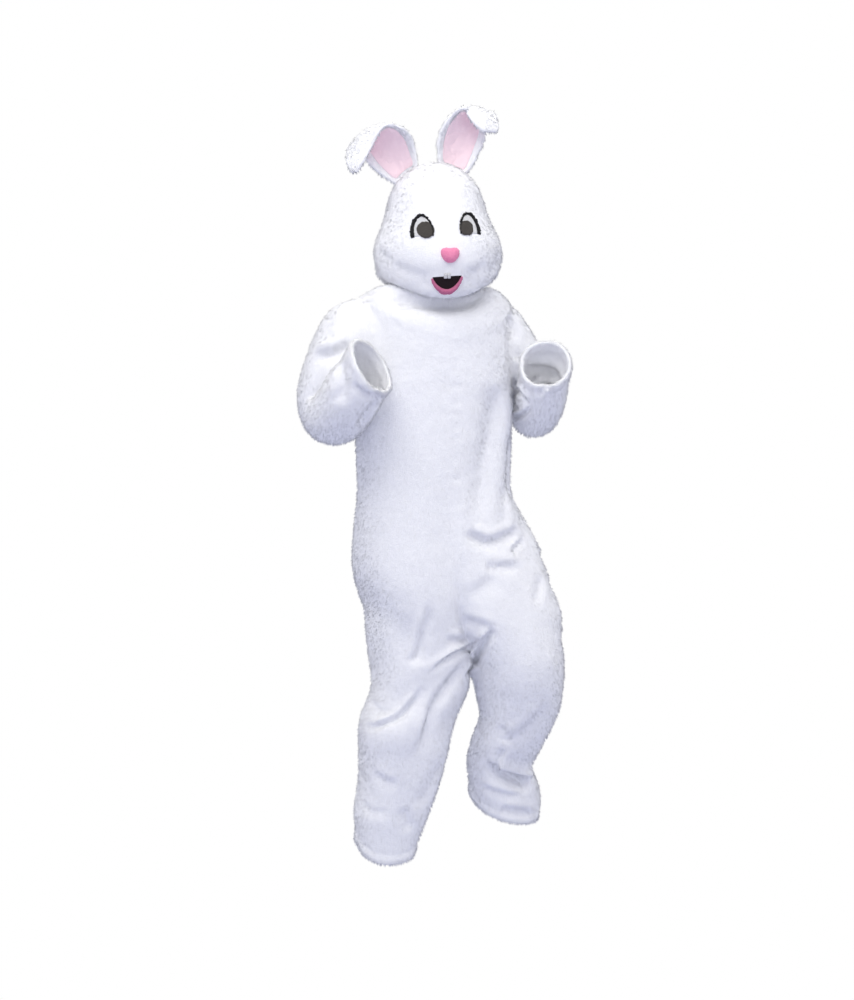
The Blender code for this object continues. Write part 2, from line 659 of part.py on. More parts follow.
def strip(skin_tree, curves, toward):
    """Places and normals where lines along +toward meet a skin, for every point of some x, z curves."""
    places, normals = [], []
    for curve in curves:
        row, facing = [], []
        for x, z in curve:
            hit, normal, _, _ = skin_tree.ray_cast(Vector((x, -toward, z)), Vector((0, toward, 0)))
            row.append(np.array(hit))
            facing.append(np.array(normal if normal.y * toward < 0 else -normal))
        places.append(row)
        normals.append(facing)
    return np.array(places), np.array(normals)


def layer(name, places, normals, low, high, cloth):
    """A closed sheet over a grid of places, from low to high above them; high may differ by point."""
    rows, columns = places.shape[:2]
    high = np.broadcast_to(np.asarray(high, float), (rows, columns))
    skin = Skin()
    order = [[skin.add(places[r][c]) for c in range(columns)] for r in range(rows)]
    skin.grid("sheet", places, False)
    count = len(skin.points)
    tops = [None] * count
    feet = [None] * count
    for r in range(rows):
        for c in range(columns):
            index = order[r][c]
            tops[index] = places[r][c] + normals[r][c] * high[r][c]
            feet[index] = places[r][c] + normals[r][c] * low
    faces = []
    for face in skin.pieces["sheet"]:  # one diagonal in every sheet, so that sheets can lie close
        faces += [face[:3], [face[0], *face[2:]]] if len(face) > 3 else [face]
    directed = {(a, b) for face in faces for a, b in zip(face, face[1:] + face[:1])}
    solid = [list(face) for face in faces]
    solid += [[index + count for index in face[::-1]] for face in faces]
    solid += [
        [b, a, a + count, b + count] for a, b in sorted(directed) if (b, a) not in directed
    ]
    return build(name, np.array(tops + feet), solid, cloth)


def arc(middle, half, start, end, count):
    turns = np.linspace(start * DEG, end * DEG, count)
    return [(middle[0] + half[0] * math.cos(t), middle[1] + half[1] * math.sin(t)) for t in turns]


def between(first, second, rows):
    """Curves spread from one to the other, both with the same number of points."""
    first, second = np.array(first), np.array(second)
    return [first + (second - first) * share for share in np.linspace(0, 1, rows)]


def make_head():
    frame = Matrix.Translation((HEAD_SHIFT, 0, 0))
    frame @= Matrix.Rotation(HEAD_TURN * DEG, 4, "Z") @ Matrix.Rotation(HEAD_ROLL * DEG, 4, "Y")
    skin = head_skin(HEAD_COLUMNS, len(HEAD["row"]) - 1)
    normals = skin.normals()
    made = [skin.wall(piece, HEAD_WALL, "white_plush", normals) for piece in skin.pieces]
    smooth = head_skin(FINER * HEAD_COLUMNS, FINER * (len(HEAD["row"]) - 1))
    tree = smooth.bvh(smooth.pieces)
    made += make_face(tree)
    for own, rows in (("right", EAR_RIGHT), ("left", EAR_LEFT)):
        made += make_ear(own, rows, tree)
    for piece in made:
        piece.data.transform(frame)


def make_face(tree):
    made = []
    for row in range(len(EYE["side"])):
        eye = {name: EYE[name][row] for name in EYE}
        own = "left" if eye["side"] > 0 else "right"
        foot = (eye["middle_x"], eye["foot_z"])
        white = (eye["half_w"] - LASH * 0.6, eye["half_h"] - LASH * 0.6)
        arch = arc(foot, white, 180, 0, 13)
        base = [(x, eye["foot_z"] - 3 * MM) for x, _ in arch]
        places, normals = strip(tree, between(base, arch, 4), 1)
        made.append(layer(f"eye_{own}_white", places, normals, LIFT, LIFT + FELT, "white_felt"))
        places, normals = strip(tree, pupil_curves(eye), 1)
        low = LIFT + FELT + TOUCH
        made.append(layer(f"eye_{own}_pupil", places, normals, low, low + MESH, "dark_mesh"))
        inner = arc(foot, (white[0] + BESIDE, white[1] + BESIDE), 172, 8, 15)
        to_outer = np.linspace(0, 1, 15) if eye["side"] > 0 else np.linspace(1, 0, 15)
        widths = LASH * (0.35 + 0.65 * to_outer**0.7)
        outer = [
            (x + (x - foot[0]) / white[0] * width, z + (z - foot[1]) / white[1] * width)
            for (x, z), width in zip(inner, widths)
        ]
        places, normals = strip(tree, between(inner, outer, 3), 1)
        made.append(layer(f"lash_{own}", places, normals, LIFT, LIFT + 2 * FELT, "black_felt"))
    made += [make_nose(tree)] + make_mouth(tree)
    return made


def pupil_curves(eye):
    """A round pupil cut off straight near its foot, as level curves from foot to top."""
    foot_turn = -50
    turns = np.linspace(foot_turn, 84, 7)
    curves = []
    for turn in turns:
        half = eye["pupil_r"] * math.cos(turn * DEG)
        z = eye["pupil_z"] + eye["pupil_r"] * math.sin(turn * DEG)
        curves.append([(eye["pupil_x"] + half * share, z) for share in np.linspace(-1, 1, 8)])
    return curves


def make_nose(tree):
    """A padded heart: two lobes at the top, one round point at the foot."""
    shares = np.linspace(-0.97, 0.97, 11)  # short of the very edge, where the swell would be sharp
    high = NOSE_TOP - NOSE_FOOT
    top, foot = [], []
    for share in shares:
        x = NOSE_X + NOSE_HALF * share
        lobe = math.sqrt(max(0.0, 1 - ((abs(share) - 0.46) / 0.56) ** 2))
        top.append((x, NOSE_TOP - high * 0.36 * (1 - lobe)))
        foot.append((x, NOSE_TOP - high * (0.44 + 0.56 * (1 - abs(share) ** 1.7))))
    curves = between(foot, top, 7)
    places, normals = strip(tree, curves, 1)
    across = 1 - shares**2
    up = 1 - np.linspace(-0.97, 0.97, 7) ** 2
    swell = np.sqrt(np.clip(np.outer(up, across), 0, 1))
    high = LIFT + NOSE_HEIGHT * (0.25 + 0.75 * swell)
    return layer("nose", places, normals, LIFT, high, "nose_pink")


def make_mouth(tree):
    """A dark mesh opening, a rose lip in a U round its foot and two front teeth from its top edge."""
    middle = (MOUTH_X, MOUTH_TOP)
    inner = (MOUTH_HALF, MOUTH_TOP - MOUTH_FOOT)
    bowl = arc(middle, inner, 187, 353, 15)
    top = [(x, MOUTH_TOP + 1.5 * MM) for x, _ in bowl]
    places, normals = strip(tree, between(bowl, top, 4), 1)
    made = [layer("mouth", places, normals, LIFT, LIFT + MESH, "dark_mesh")]
    near = arc(middle, (inner[0] + BESIDE, inner[1] + BESIDE), 184, 356, 17)
    far = arc(middle, (inner[0] + LIP, inner[1] + LIP), 176, 364, 17)
    places, normals = strip(tree, between(far, near, 4), 1)
    profile = LIFT + LIP_HEIGHT * np.array((0.45, 0.95, 0.95, 0.45))[:, None]
    made.append(layer("lip", places, normals, LIFT, np.tile(profile, 17), "rose_felt"))
    for own, side in (("right", -1), ("left", 1)):
        xs = sorted(MOUTH_X + side * (TOUCH + TOOTH_W * share) for share in np.linspace(0, 1, 4))
        top = [(x, MOUTH_TOP + 1 * MM) for x in xs]
        foot = [(x, MOUTH_TOP + 1 * MM - TOOTH_H * (1 if 0 < n < 3 else 0.85)) for n, x in enumerate(xs)]
        places, normals = strip(tree, between(foot, top, 3), 1)
        low = LIFT + MESH + TOUCH
        made.append(layer(f"tooth_{own}", places, normals, low, low + FELT, "white_felt"))
    return made


def make_ear(own, rows, tree):
    """A padded leaf that bends over: white back and rim, and a pink lining set in from the edge."""
    count = len(rows["x"])
    middles = np.array([rows["x"], rows["y"], rows["z"]]).T
    along = np.gradient(middles, axis=0)
    along /= np.linalg.norm(along, axis=1)[:, None]
    across = np.array([rows["across_x"], rows["across_y"], rows["across_z"]]).T
    across -= (across * along).sum(axis=1)[:, None] * along
    across /= np.linalg.norm(across, axis=1)[:, None]
    hollow = np.cross(across, along)

    shares = np.linspace(-1, 1, EAR_COLUMNS + 1)
    places, normals = np.zeros((2, count, len(shares), 3))
    for row in range(count):
        half, cup = rows["half"][row], rows["cup"][row]
        for column, share in enumerate(shares):
            curl = cup * share**2
            places[row][column] = middles[row] + half * share * across[row] + curl * hollow[row]
            normal = hollow[row] - 2 * cup * share / half * across[row]
            normals[row][column] = normal / np.linalg.norm(normal)
    for column, place in enumerate(places[0]):
        middle = place - normals[0][column] * EAR_WALL / 2
        hit, normal, _, _ = tree.find_nearest(Vector(middle))
        places[0][column] = np.array(hit + normal * EAR_FOOT) + normals[0][column] * EAR_WALL / 2
    back = layer(f"ear_{own}_back", places, normals, -EAR_WALL, 0, "white_plush")
    for grid in (places, normals):
        grid[0] += (grid[1] - grid[0]) * LINING_START
    inset = (slice(0, -2), slice(1, -1))
    name = f"ear_{own}_lining"
    return [back, layer(name, places[inset], normals[inset], LIFT, LIFT + EAR_LINING, "pink_satin")]


# %% Zip


def make_zip(skin):
    """A closed zip over the centre-back seam; its tape bends where the seam's own rows do."""
    tree = skin.bvh(["back_right", "back_left"])
    heights = sorted(
        z for x, y, z in skin.points if abs(x) < SAME and y > 0 and ZIP_FOOT < z + SAME and z < ZIP_TOP
    )
    curves = [[(x, z) for z in heights] for x in np.linspace(-ZIP_HALF, ZIP_HALF, 3)]
    places, normals = strip(tree, curves, -1)
    smoothed = normals.mean(axis=0, keepdims=True).repeat(3, axis=0)
    tape = ZIP_LIFT + FELT
    layer("zip_tape", places, smoothed, ZIP_LIFT, tape, "zip_tape")
    hit, normal, _, _ = tree.ray_cast(Vector((0, 1, SLIDER_Z)), Vector((0, -1, 0)))
    frame = Matrix.Translation(hit) @ Matrix.Rotation(math.atan2(normal.z, normal.y), 4, "X")
    low = tape + 1 * MM
    make_slider(frame, low)
    make_pull(frame @ Vector((0, low + SLIDER_BASE + PIVOT_OUT, 0)))


def extrude(name, outline, along, depth, cloth):
    """A flat outline swept along one axis; outline points are given in the other two, in order."""
    faces = bmesh.new()
    others = [axis for axis in range(3) if axis != along]
    corners = []
    for pair in outline:
        point = [0.0, 0.0, 0.0]
        point[others[0]], point[others[1]] = pair
        point[along] = -depth / 2
        corners.append(faces.verts.new(point))
    base = faces.faces.new(corners)
    grown = bmesh.ops.extrude_face_region(faces, geom=[base])["geom"]
    moved = [item for item in grown if isinstance(item, bmesh.types.BMVert)]
    step = [0.0, 0.0, 0.0]
    step[along] = depth
    bmesh.ops.translate(faces, verts=moved, vec=step)
    bmesh.ops.recalc_face_normals(faces, faces=faces.faces)
    mesh = bpy.data.meshes.new(name)
    faces.to_mesh(mesh)
    faces.free()
    mesh.materials.append(material(cloth))
    made = bpy.data.objects.new(name, mesh)
    bpy.context.scene.collection.objects.link(made)
    return made


def make_slider(frame, low):
    """The slider's body, with two lugs that hold the pull between them."""
    half, slot = SLIDER_W / 2, SLIDER_SLOT / 2
    base, lug = low + SLIDER_BASE, low + SLIDER_BASE + SLIDER_LUG
    outline = [
        (-half, low), (half, low), (half, base), (slot + 1.5 * MM, base), (slot + 1.5 * MM, lug),
        (slot, lug), (slot, base), (-slot, base), (-slot, lug), (-slot - 1.5 * MM, lug),
        (-slot - 1.5 * MM, base), (-half, base),
    ]
    made = extrude("zip_slider", outline, 2, SLIDER_H, "zip_metal")
    made.matrix_world = frame


def make_pull(pivot):
    """The tab hangs straight down from its pivot between the lugs, where its origin is."""
    neck, wide = PULL_NECK / 2, PULL_W / 2
    drop = SLIDER_H / 2 + 4 * MM
    outline = [(-neck, 1 * MM), (-neck, -drop), (-wide, -drop - 3 * MM), (-wide, -PULL_LONG + 3 * MM)]
    outline += [(-wide + 3 * MM, -PULL_LONG)]
    outline += [(-x, z) for x, z in outline[::-1]]
    made = extrude("zip_pull", outline, 1, PULL_THICK, "zip_metal")
    made.location = pivot


def main():
    skin = make_suit()
    normals = skin.normals()
    for piece in skin.pieces:
        skin.wall(piece, PLUSH, "white_plush", normals)
    make_zip(skin)
    make_head()
    bpy.context.view_layer.update()


main()
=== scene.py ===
# %% [markdown]
# # White rabbit mascot costume
#
# The costume is a loose one-piece suit of short white plush and a big hollow head with long ears
# that flop over. It is worn by nobody here, yet it keeps the pose of a step: the hem, the cuffs and
# the neck are open, and you can look inside.
#
# The frame gives the cut pieces as plain walls. Every piece below starts from those walls, so it
# lies exactly where the real panel lies, and then gets the creases, the pile and the seams that
# make it cloth.

# %% Tools and the frame
import math

import bmesh
import bpy
import numpy as np
from mathutils import Matrix, Vector, noise
from mathutils.bvhtree import BVHTree
from mathutils.kdtree import KDTree


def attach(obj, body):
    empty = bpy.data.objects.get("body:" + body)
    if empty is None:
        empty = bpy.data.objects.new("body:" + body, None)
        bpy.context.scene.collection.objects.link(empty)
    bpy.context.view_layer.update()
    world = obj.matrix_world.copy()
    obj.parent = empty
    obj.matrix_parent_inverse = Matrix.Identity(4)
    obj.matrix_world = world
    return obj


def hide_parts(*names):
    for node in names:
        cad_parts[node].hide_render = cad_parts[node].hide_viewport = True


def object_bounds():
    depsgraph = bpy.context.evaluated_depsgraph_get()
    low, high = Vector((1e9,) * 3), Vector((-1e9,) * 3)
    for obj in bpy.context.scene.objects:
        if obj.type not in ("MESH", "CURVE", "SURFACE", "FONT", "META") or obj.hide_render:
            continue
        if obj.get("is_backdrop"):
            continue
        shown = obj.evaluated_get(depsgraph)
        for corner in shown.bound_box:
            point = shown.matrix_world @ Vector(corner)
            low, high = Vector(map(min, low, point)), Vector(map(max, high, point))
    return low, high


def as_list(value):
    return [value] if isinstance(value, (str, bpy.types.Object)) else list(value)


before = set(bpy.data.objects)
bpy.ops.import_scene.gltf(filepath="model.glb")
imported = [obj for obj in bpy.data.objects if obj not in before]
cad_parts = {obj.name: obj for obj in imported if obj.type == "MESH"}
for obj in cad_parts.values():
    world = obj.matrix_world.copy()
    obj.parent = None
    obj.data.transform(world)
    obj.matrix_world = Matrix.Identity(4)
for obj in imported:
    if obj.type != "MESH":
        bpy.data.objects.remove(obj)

MM = 0.001
DEG = math.pi / 180
cad_box = [list(corner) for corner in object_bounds()]
print("the frame's box in metres:", [[round(v, 3) for v in corner] for corner in cad_box])

# %% [markdown]
# ## The camera
#
# A person of ordinary height looks at the costume from five metres away, a little from the wearer's
# right. A long lens keeps the head and the feet in proportion. The same eye is used again later:
# creases are placed by where a viewer sees them, so it is worth having its position as a function.

# %% Camera
EYE_DISTANCE = 5.0
EYE_HEIGHT = 2 * DEG  # above the horizon
FRONT, BACK, RIGHT_SIDE, LEFT_SIDE = -20, 160, -110, 70  # azimuths; 0 looks at the chest squarely
AIM_ACROSS, AIM_HEIGHT = -0.025, -0.52
LENS, SENSOR = 72, 36  # millimetres


def eye_axes(azimuth):
    """The eye's place, and its right and up directions, when it stands at this azimuth."""
    turn = azimuth * DEG
    back = Vector((math.sin(turn), -math.cos(turn), 0)) * math.cos(EYE_HEIGHT)
    back.z = math.sin(EYE_HEIGHT)
    right = Vector((math.cos(turn), math.sin(turn), 0))
    aim = right * AIM_ACROSS + Vector((0, 0, AIM_HEIGHT))
    return aim + back * EYE_DISTANCE, right, back.cross(right)


def new_object(name, data):
    """An object in the scene."""
    made = bpy.data.objects.new(name, data)
    bpy.context.scene.collection.objects.link(made)
    return made


eye, right, up = eye_axes(FRONT)
camera = new_object("camera", bpy.data.cameras.new("camera"))
camera.data.lens = LENS
camera.data.sensor_width = SENSOR
camera.location = eye
camera.rotation_euler = right.cross(up).to_track_quat("Z", "Y").to_euler()
bpy.context.scene.camera = camera
print("the eye stands at", [round(v, 2) for v in eye])

# %% [markdown]
# ## The studio
#
# White plush before white paper shows only through very soft shade. The light is large and high, so
# whatever looks up is bright and neutral. The sky fills the rest with a pale lavender that grows
# stronger towards the ground, as white cloth looks in a bright studio. The paper is a plain white
# that only the camera sees, and it throws no light of its own.

# %% Sky
SKY_ABOVE = (0.90, 0.90, 0.91)
SKY_BELOW = (0.60, 0.628, 0.87)
SKY_POWER = 0.86


def join_nodes(tree, *pairs):
    """Links sockets two by two."""
    for source, target in pairs:
        tree.links.new(source, target)


def set_inputs(node, values):
    """Gives a node's sockets their values, by name."""
    for socket, value in values.items():
        node.inputs[socket].default_value = value


def add_world():
    world = bpy.data.worlds.new("studio")
    world.use_nodes = True
    tree = world.node_tree
    sky, output = tree.nodes["Background"], tree.nodes["World Output"]
    set_inputs(sky, {"Strength": SKY_POWER})
    place = tree.nodes.new("ShaderNodeTexCoord")
    parts = tree.nodes.new("ShaderNodeSeparateXYZ")
    height = tree.nodes.new("ShaderNodeMapRange")
    set_inputs(height, {"From Min": -1})
    shade = tree.nodes.new("ShaderNodeMix")
    shade.data_type = "RGBA"
    set_inputs(shade, {"A": (*SKY_BELOW, 1), "B": (*SKY_ABOVE, 1)})
    paper = tree.nodes.new("ShaderNodeBackground")
    set_inputs(paper, {"Color": (1, 1, 1, 1)})
    ray = tree.nodes.new("ShaderNodeLightPath")
    either = tree.nodes.new("ShaderNodeMixShader")
    join_nodes(
        tree,
        (place.outputs["Generated"], parts.inputs["Vector"]),
        (parts.outputs["Z"], height.inputs["Value"]),
        (height.outputs["Result"], shade.inputs["Factor"]),
        (shade.outputs["Result"], sky.inputs["Color"]),
        (ray.outputs["Is Camera Ray"], either.inputs["Fac"]),
        (sky.outputs["Background"], either.inputs[1]),
        (paper.outputs["Background"], either.inputs[2]),
        (either.outputs["Shader"], output.inputs["Surface"]),
    )
    bpy.context.scene.world = world


add_world()
print("a sky of strength", SKY_POWER)

# %% [markdown]
# ## Five softboxes
#
# A studio lights cloth with big white boxes, and an area light does the same: the larger it is, the
# softer its shade. The key stands high before the wearer's right shoulder, so folds are lit from
# above. The fill and the front light keep its shade pale, the rim lights the back, and a weak bluish
# one lifts the undersides. A sun lamp is quicker to place, but its rays are parallel and its shade is
# harder.

# %% Softboxes
SOFTBOXES = {
    # name: azimuth, elevation, distance, size, power, colour, and the height that it looks at
    "key": (-46, 56, 3.4, 1.9, 47, (1.0, 0.99, 0.95), -0.4),
    "fill": (45, 44, 4.0, 2.0, 17, (1.0, 0.98, 0.93), -0.4),
    "rim": (150, 50, 4.0, 2.0, 22, (1.0, 1.0, 1.0), -0.4),
    "front": (-12, 40, 4.2, 2.4, 19, (1.0, 0.99, 0.96), -0.1),
    "floor bounce": (-30, -18, 2.6, 1.5, 5, (0.66, 0.72, 1.0), -1.3),
}


def softbox(name, azimuth, elevation, distance, size, power, colour, aim):
    """A square area light that looks at the body's axis, at the height of aim, from this azimuth."""
    turn, lift = azimuth * DEG, elevation * DEG
    back = Vector((math.sin(turn) * math.cos(lift), -math.cos(turn) * math.cos(lift), math.sin(lift)))
    data = bpy.data.lights.new(name, "AREA")
    data.shape = "SQUARE"
    data.size = size
    data.energy = power
    data.color = colour
    lamp = new_object(name, data)
    lamp.location = Vector((0, 0, aim)) + back * distance
    lamp.rotation_euler = back.to_track_quat("Z", "Y").to_euler()


for name, settings in SOFTBOXES.items():
    softbox(name, *settings)
bpy.context.scene.view_settings.view_transform = "Standard"
print(len(SOFTBOXES), "softboxes stand round the costume")

# %% [markdown]
# ## The floor
#
# White paper under strong light is overexposed and looks the same white all over. An emission shader
# gives that without any light to balance. The sheet is hidden from bounced rays and from shadows, so
# it tints nothing, and its underside is clear, so the hems can be looked at from below.

# %% Floor
FLOOR_HEIGHT, FLOOR_SIZE = -1.50, 12.0


def add_floor(height, size):
    """A sheet of white paper under the feet. Only a camera above it sees it, so it tints nothing."""
    paper = bpy.data.materials.new("floor_paper")
    paper.use_nodes = True
    tree = paper.node_tree
    tree.nodes.remove(tree.nodes["Principled BSDF"])
    white = tree.nodes.new("ShaderNodeEmission")
    set_inputs(white, {"Color": (1, 1, 1, 1)})
    side = tree.nodes.new("ShaderNodeNewGeometry")
    clear = tree.nodes.new("ShaderNodeBsdfTransparent")
    either = tree.nodes.new("ShaderNodeMixShader")
    join_nodes(
        tree,
        (side.outputs["Backfacing"], either.inputs["Fac"]),
        (white.outputs["Emission"], either.inputs[1]),
        (clear.outputs["BSDF"], either.inputs[2]),
        (either.outputs["Shader"], tree.nodes["Material Output"].inputs["Surface"]),
    )
    shape = bmesh.new()
    bmesh.ops.create_grid(shape, x_segments=1, y_segments=1, size=size / 2)
    bmesh.ops.translate(shape, verts=shape.verts, vec=(0, 0, height))
    mesh = bpy.data.meshes.new("floor")
    shape.to_mesh(mesh)
    shape.free()
    mesh.materials.append(paper)
    floor = new_object("floor", mesh)
    for ray in ("diffuse", "glossy", "transmission", "shadow"):
        setattr(floor, "visible_" + ray, False)
    floor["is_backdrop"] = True


add_floor(FLOOR_HEIGHT, FLOOR_SIZE)
print("the paper lies at", FLOOR_HEIGHT, "m")

# %% [markdown]
# ## Meshes as arrays
#
# Cloth is shaped by moving thousands of points at once. NumPy does that in one step where a loop over
# the points would take minutes, so the helpers below read a mesh into arrays and write it back.
# Modifiers do the rest: they are put on a passing object, and only the mesh that they make is kept.

# %% Helpers for pieces


def add_object(name, mesh, material):
    made = new_object(name, mesh)
    mesh.materials.clear()
    mesh.materials.append(material)
    return made


def shape_of(mesh):
    shape = bmesh.new()
    shape.from_mesh(mesh)
    return shape


def mesh_of(name, shape):
    """The bmesh as a new smooth mesh; the bmesh is freed."""
    mesh = bpy.data.meshes.new(name)
    shape.to_mesh(mesh)
    shape.free()
    mesh.shade_smooth()
    return mesh


def points_of(mesh):
    points = np.empty(len(mesh.vertices) * 3)
    mesh.vertices.foreach_get("co", points)
    return points.reshape(-1, 3)


def normals_of(mesh):
    normals = np.empty(len(mesh.vertices) * 3)
    mesh.vertices.foreach_get("normal", normals)
    return normals.reshape(-1, 3)


def put_points(mesh, points):
    mesh.vertices.foreach_set("co", np.asarray(points, np.float32).ravel())
    mesh.update()


def surface_of(mesh):
    """A search tree over one mesh's faces."""
    corners = [Vector(place) for place in points_of(mesh)]
    return BVHTree.FromPolygons(corners, [face.vertices for face in mesh.polygons])


def search_over(places):
    """A search tree over numbered points."""
    search = KDTree(len(places))
    for number, place in places:
        search.insert(place, number)
    search.balance()
    return search


# %% Helpers for modifiers


def baked(made):
    """The mesh of an object as its modifiers leave it."""
    return bpy.data.meshes.new_from_object(made.evaluated_get(bpy.context.evaluated_depsgraph_get()))


def modified(mesh, *steps):
    """The mesh after some modifiers, which stay on no object; each step is a kind and its settings."""
    holder = new_object(mesh.name, mesh)
    for kind, settings in steps:
        modifier = holder.modifiers.new(kind.lower(), kind)
        for key, value in settings.items():
            setattr(modifier, key, value)
    made = baked(holder)
    bpy.data.objects.remove(holder)
    return made


def clouds(name, size):
    """A soft three-dimensional noise, used to make cloth uneven."""
    made = bpy.data.textures.new(name, "CLOUDS")
    made.noise_scale = size
    made.noise_depth = 2
    return made


def uneven(mesh, *layers):
    """Moves a mesh along its normals by layers of noise, each of a size and a height."""
    steps = []
    for number, (size, height) in enumerate(layers):
        texture = clouds(f"{mesh.name}_{number}", size)
        steps.append(("DISPLACE", {"texture": texture, "strength": height, "mid_level": 0.5}))
    return modified(mesh, *steps)


# %% [markdown]
# ## What it is made of
#
# Five kinds of cloth and one metal. Two effects are shared, so each is a node group: `pile` is the
# lumpy, combed surface of plush, and `threads` crosses two sets of yarn, for satin, mesh and zip tape.
# Both give a height for the bump and a factor that lightens the tips. All of it is measured in
# metres on the object, so the grain keeps its true size wherever it is put.

# %% Helpers for materials


def new_group(name, numbers):
    """A node group that takes some numbers and gives a height and a factor."""
    group = bpy.data.node_groups.new(name, "ShaderNodeTree")
    for number in numbers:
        group.interface.new_socket(number, in_out="INPUT", socket_type="NodeSocketFloat")
    for result in ("Height", "Tips"):
        group.interface.new_socket(result, in_out="OUTPUT", socket_type="NodeSocketFloat")
    return group, group.nodes.new("NodeGroupInput"), group.nodes.new("NodeGroupOutput")


def add_math(tree, operation, first, second):
    made = tree.nodes.new("ShaderNodeMath")
    made.operation = operation
    for socket, value in zip(made.inputs, (first, second)):
        if isinstance(value, (int, float)):
            socket.default_value = value
        else:
            tree.links.new(value, socket)
    return made.outputs["Value"]


# %% [markdown]
# ## Two grains
#
# Noise at two sizes is enough for plush: clumps about a centimetre across, and finer tips on them. An
# image texture would need the cloth unwrapped first, and its tiles would show. Yarn is two waves that
# cross at right angles, and a little distortion makes it look spun.

# %% Pile and threads
CLUMP_SHARE, TIP_SHARE = 0.55, 0.45  # of the pile's height


def pile_group():
    """Clumps of combed pile with single tips on them; Clump and Tip are sizes per metre."""
    group, given, result = new_group("pile", ("Clump", "Tip"))
    place = group.nodes.new("ShaderNodeTexCoord").outputs["Object"]
    lumps, heights = [], []
    for size, detail, share in (("Clump", 3, CLUMP_SHARE), ("Tip", 2, TIP_SHARE)):
        grain = group.nodes.new("ShaderNodeTexNoise")
        set_inputs(grain, {"Detail": detail})
        join_nodes(
            group, (place, grain.inputs["Vector"]), (given.outputs[size], grain.inputs["Scale"])
        )
        lumps.append(grain.outputs["Fac"])
        heights.append(add_math(group, "MULTIPLY", grain.outputs["Fac"], share))
    both = add_math(group, "ADD", *heights)
    join_nodes(group, (both, result.inputs["Height"]), (lumps[0], result.inputs["Tips"]))
    return group


def threads_group():
    """Warp and weft that cross at right angles; Yarn is a size per metre, Slub how uneven it is."""
    group, given, result = new_group("threads", ("Yarn", "Slub"))
    place = group.nodes.new("ShaderNodeTexCoord").outputs["Object"]
    yarns = []
    for direction in ("X", "Z"):
        yarn = group.nodes.new("ShaderNodeTexWave")
        yarn.bands_direction = direction
        set_inputs(yarn, {"Detail": 1})
        join_nodes(
            group,
            (place, yarn.inputs["Vector"]),
            (given.outputs["Yarn"], yarn.inputs["Scale"]),
            (given.outputs["Slub"], yarn.inputs["Distortion"]),
        )
        yarns.append(yarn.outputs["Fac"])
    over = add_math(group, "MAXIMUM", *yarns)
    crossing = add_math(group, "MULTIPLY", *yarns)
    join_nodes(group, (over, result.inputs["Height"]), (crossing, result.inputs["Tips"]))
    return group


PILE, THREADS = pile_group(), threads_group()
print("node groups:", PILE.name, "and", THREADS.name)

# %% Materials
COMBED = {"Clump": 80, "Tip": 420}  # lumps of 12 mm, tips of 2.4 mm
SHORN = {"Clump": 260, "Tip": 1100}
CAST = {"Clump": 60, "Tip": 2400}
NET = {"Yarn": 210, "Slub": 1.0}
SATIN = {"Yarn": 700, "Slub": 2.0}
WOVEN = {"Yarn": 330, "Slub": 1.5}
CLOTH_SHINE = {"Specular IOR Level": 0.25, "Sheen Roughness": 0.45}
FINISHES = {
    # name: group and its numbers, dark and light colour, roughness, relief in mm, sheen
    "white_plush": (PILE, COMBED, (0.845, 0.848, 0.865), (0.915, 0.918, 0.93), 0.95, 2.2, 0.25),
    # a lighter copy of the white plush for the locks and the ears' backs: painted light that offsets the
    # shade they fall into
    "white_plush_tips": (PILE, COMBED, (0.90, 0.902, 0.912), (0.935, 0.937, 0.945), 0.95, 0, 0.25),
    "nose_pink": (PILE, SHORN, (0.74, 0.17, 0.33), (0.90, 0.33, 0.49), 0.8, 0.7, 0.4),
    "white_felt": (PILE, SHORN, (0.55, 0.55, 0.56), (0.70, 0.70, 0.70), 0.95, 0.4, 0.1),
    "black_felt": (PILE, SHORN, (0.006, 0.006, 0.007), (0.022, 0.021, 0.022), 0.95, 0.5, 0),
    "rose_felt": (PILE, SHORN, (0.40, 0.09, 0.19), (0.56, 0.18, 0.30), 0.9, 0.5, 0.2),
    "mouth_mesh": (THREADS, NET, (0.004, 0.003, 0.004), (0.035, 0.012, 0.018), 0.8, 0.4, 0),
    "dark_mesh": (THREADS, NET, (0.030, 0.026, 0.023), (0.150, 0.135, 0.120), 0.7, 0.5, 0),
    "pink_satin": (THREADS, SATIN, (0.97, 0.735, 0.78), (0.99, 0.83, 0.86), 0.42, 0.06, 0.6),
    "zip_tape": (THREADS, WOVEN, (0.62, 0.62, 0.64), (0.86, 0.86, 0.87), 0.8, 0.3, 0),
    "zip_metal": (PILE, CAST, (0.50, 0.50, 0.51), (0.68, 0.68, 0.67), 0.34, 0.02, 0),
}


def cloth_material(name, group, numbers, low, high, roughness, bump, sheen):
    """A cloth whose colour runs from low to high with the group's tips; bump in mm."""
    made = bpy.data.materials.new(name)
    made.use_nodes = True
    tree = made.node_tree
    shader = tree.nodes["Principled BSDF"]
    set_inputs(shader, {"Roughness": roughness, "Sheen Weight": sheen, **CLOTH_SHINE})
    grain = tree.nodes.new("ShaderNodeGroup")
    grain.node_tree = group
    set_inputs(grain, numbers)
    colour = tree.nodes.new("ShaderNodeMix")
    colour.data_type = "RGBA"
    set_inputs(colour, {"A": (*low, 1), "B": (*high, 1)})
    relief = tree.nodes.new("ShaderNodeBump")
    set_inputs(relief, {"Distance": bump * MM})
    join_nodes(
        tree,
        (grain.outputs["Tips"], colour.inputs["Factor"]),
        (colour.outputs["Result"], shader.inputs["Base Color"]),
        (grain.outputs["Height"], relief.inputs["Height"]),
        (relief.outputs["Normal"], shader.inputs["Normal"]),
    )
    return made


finish = {name: cloth_material(name, *settings) for name, settings in FINISHES.items()}
set_inputs(finish["zip_metal"].node_tree.nodes["Principled BSDF"], {"Metallic": 1})
print(len(finish), "finishes")

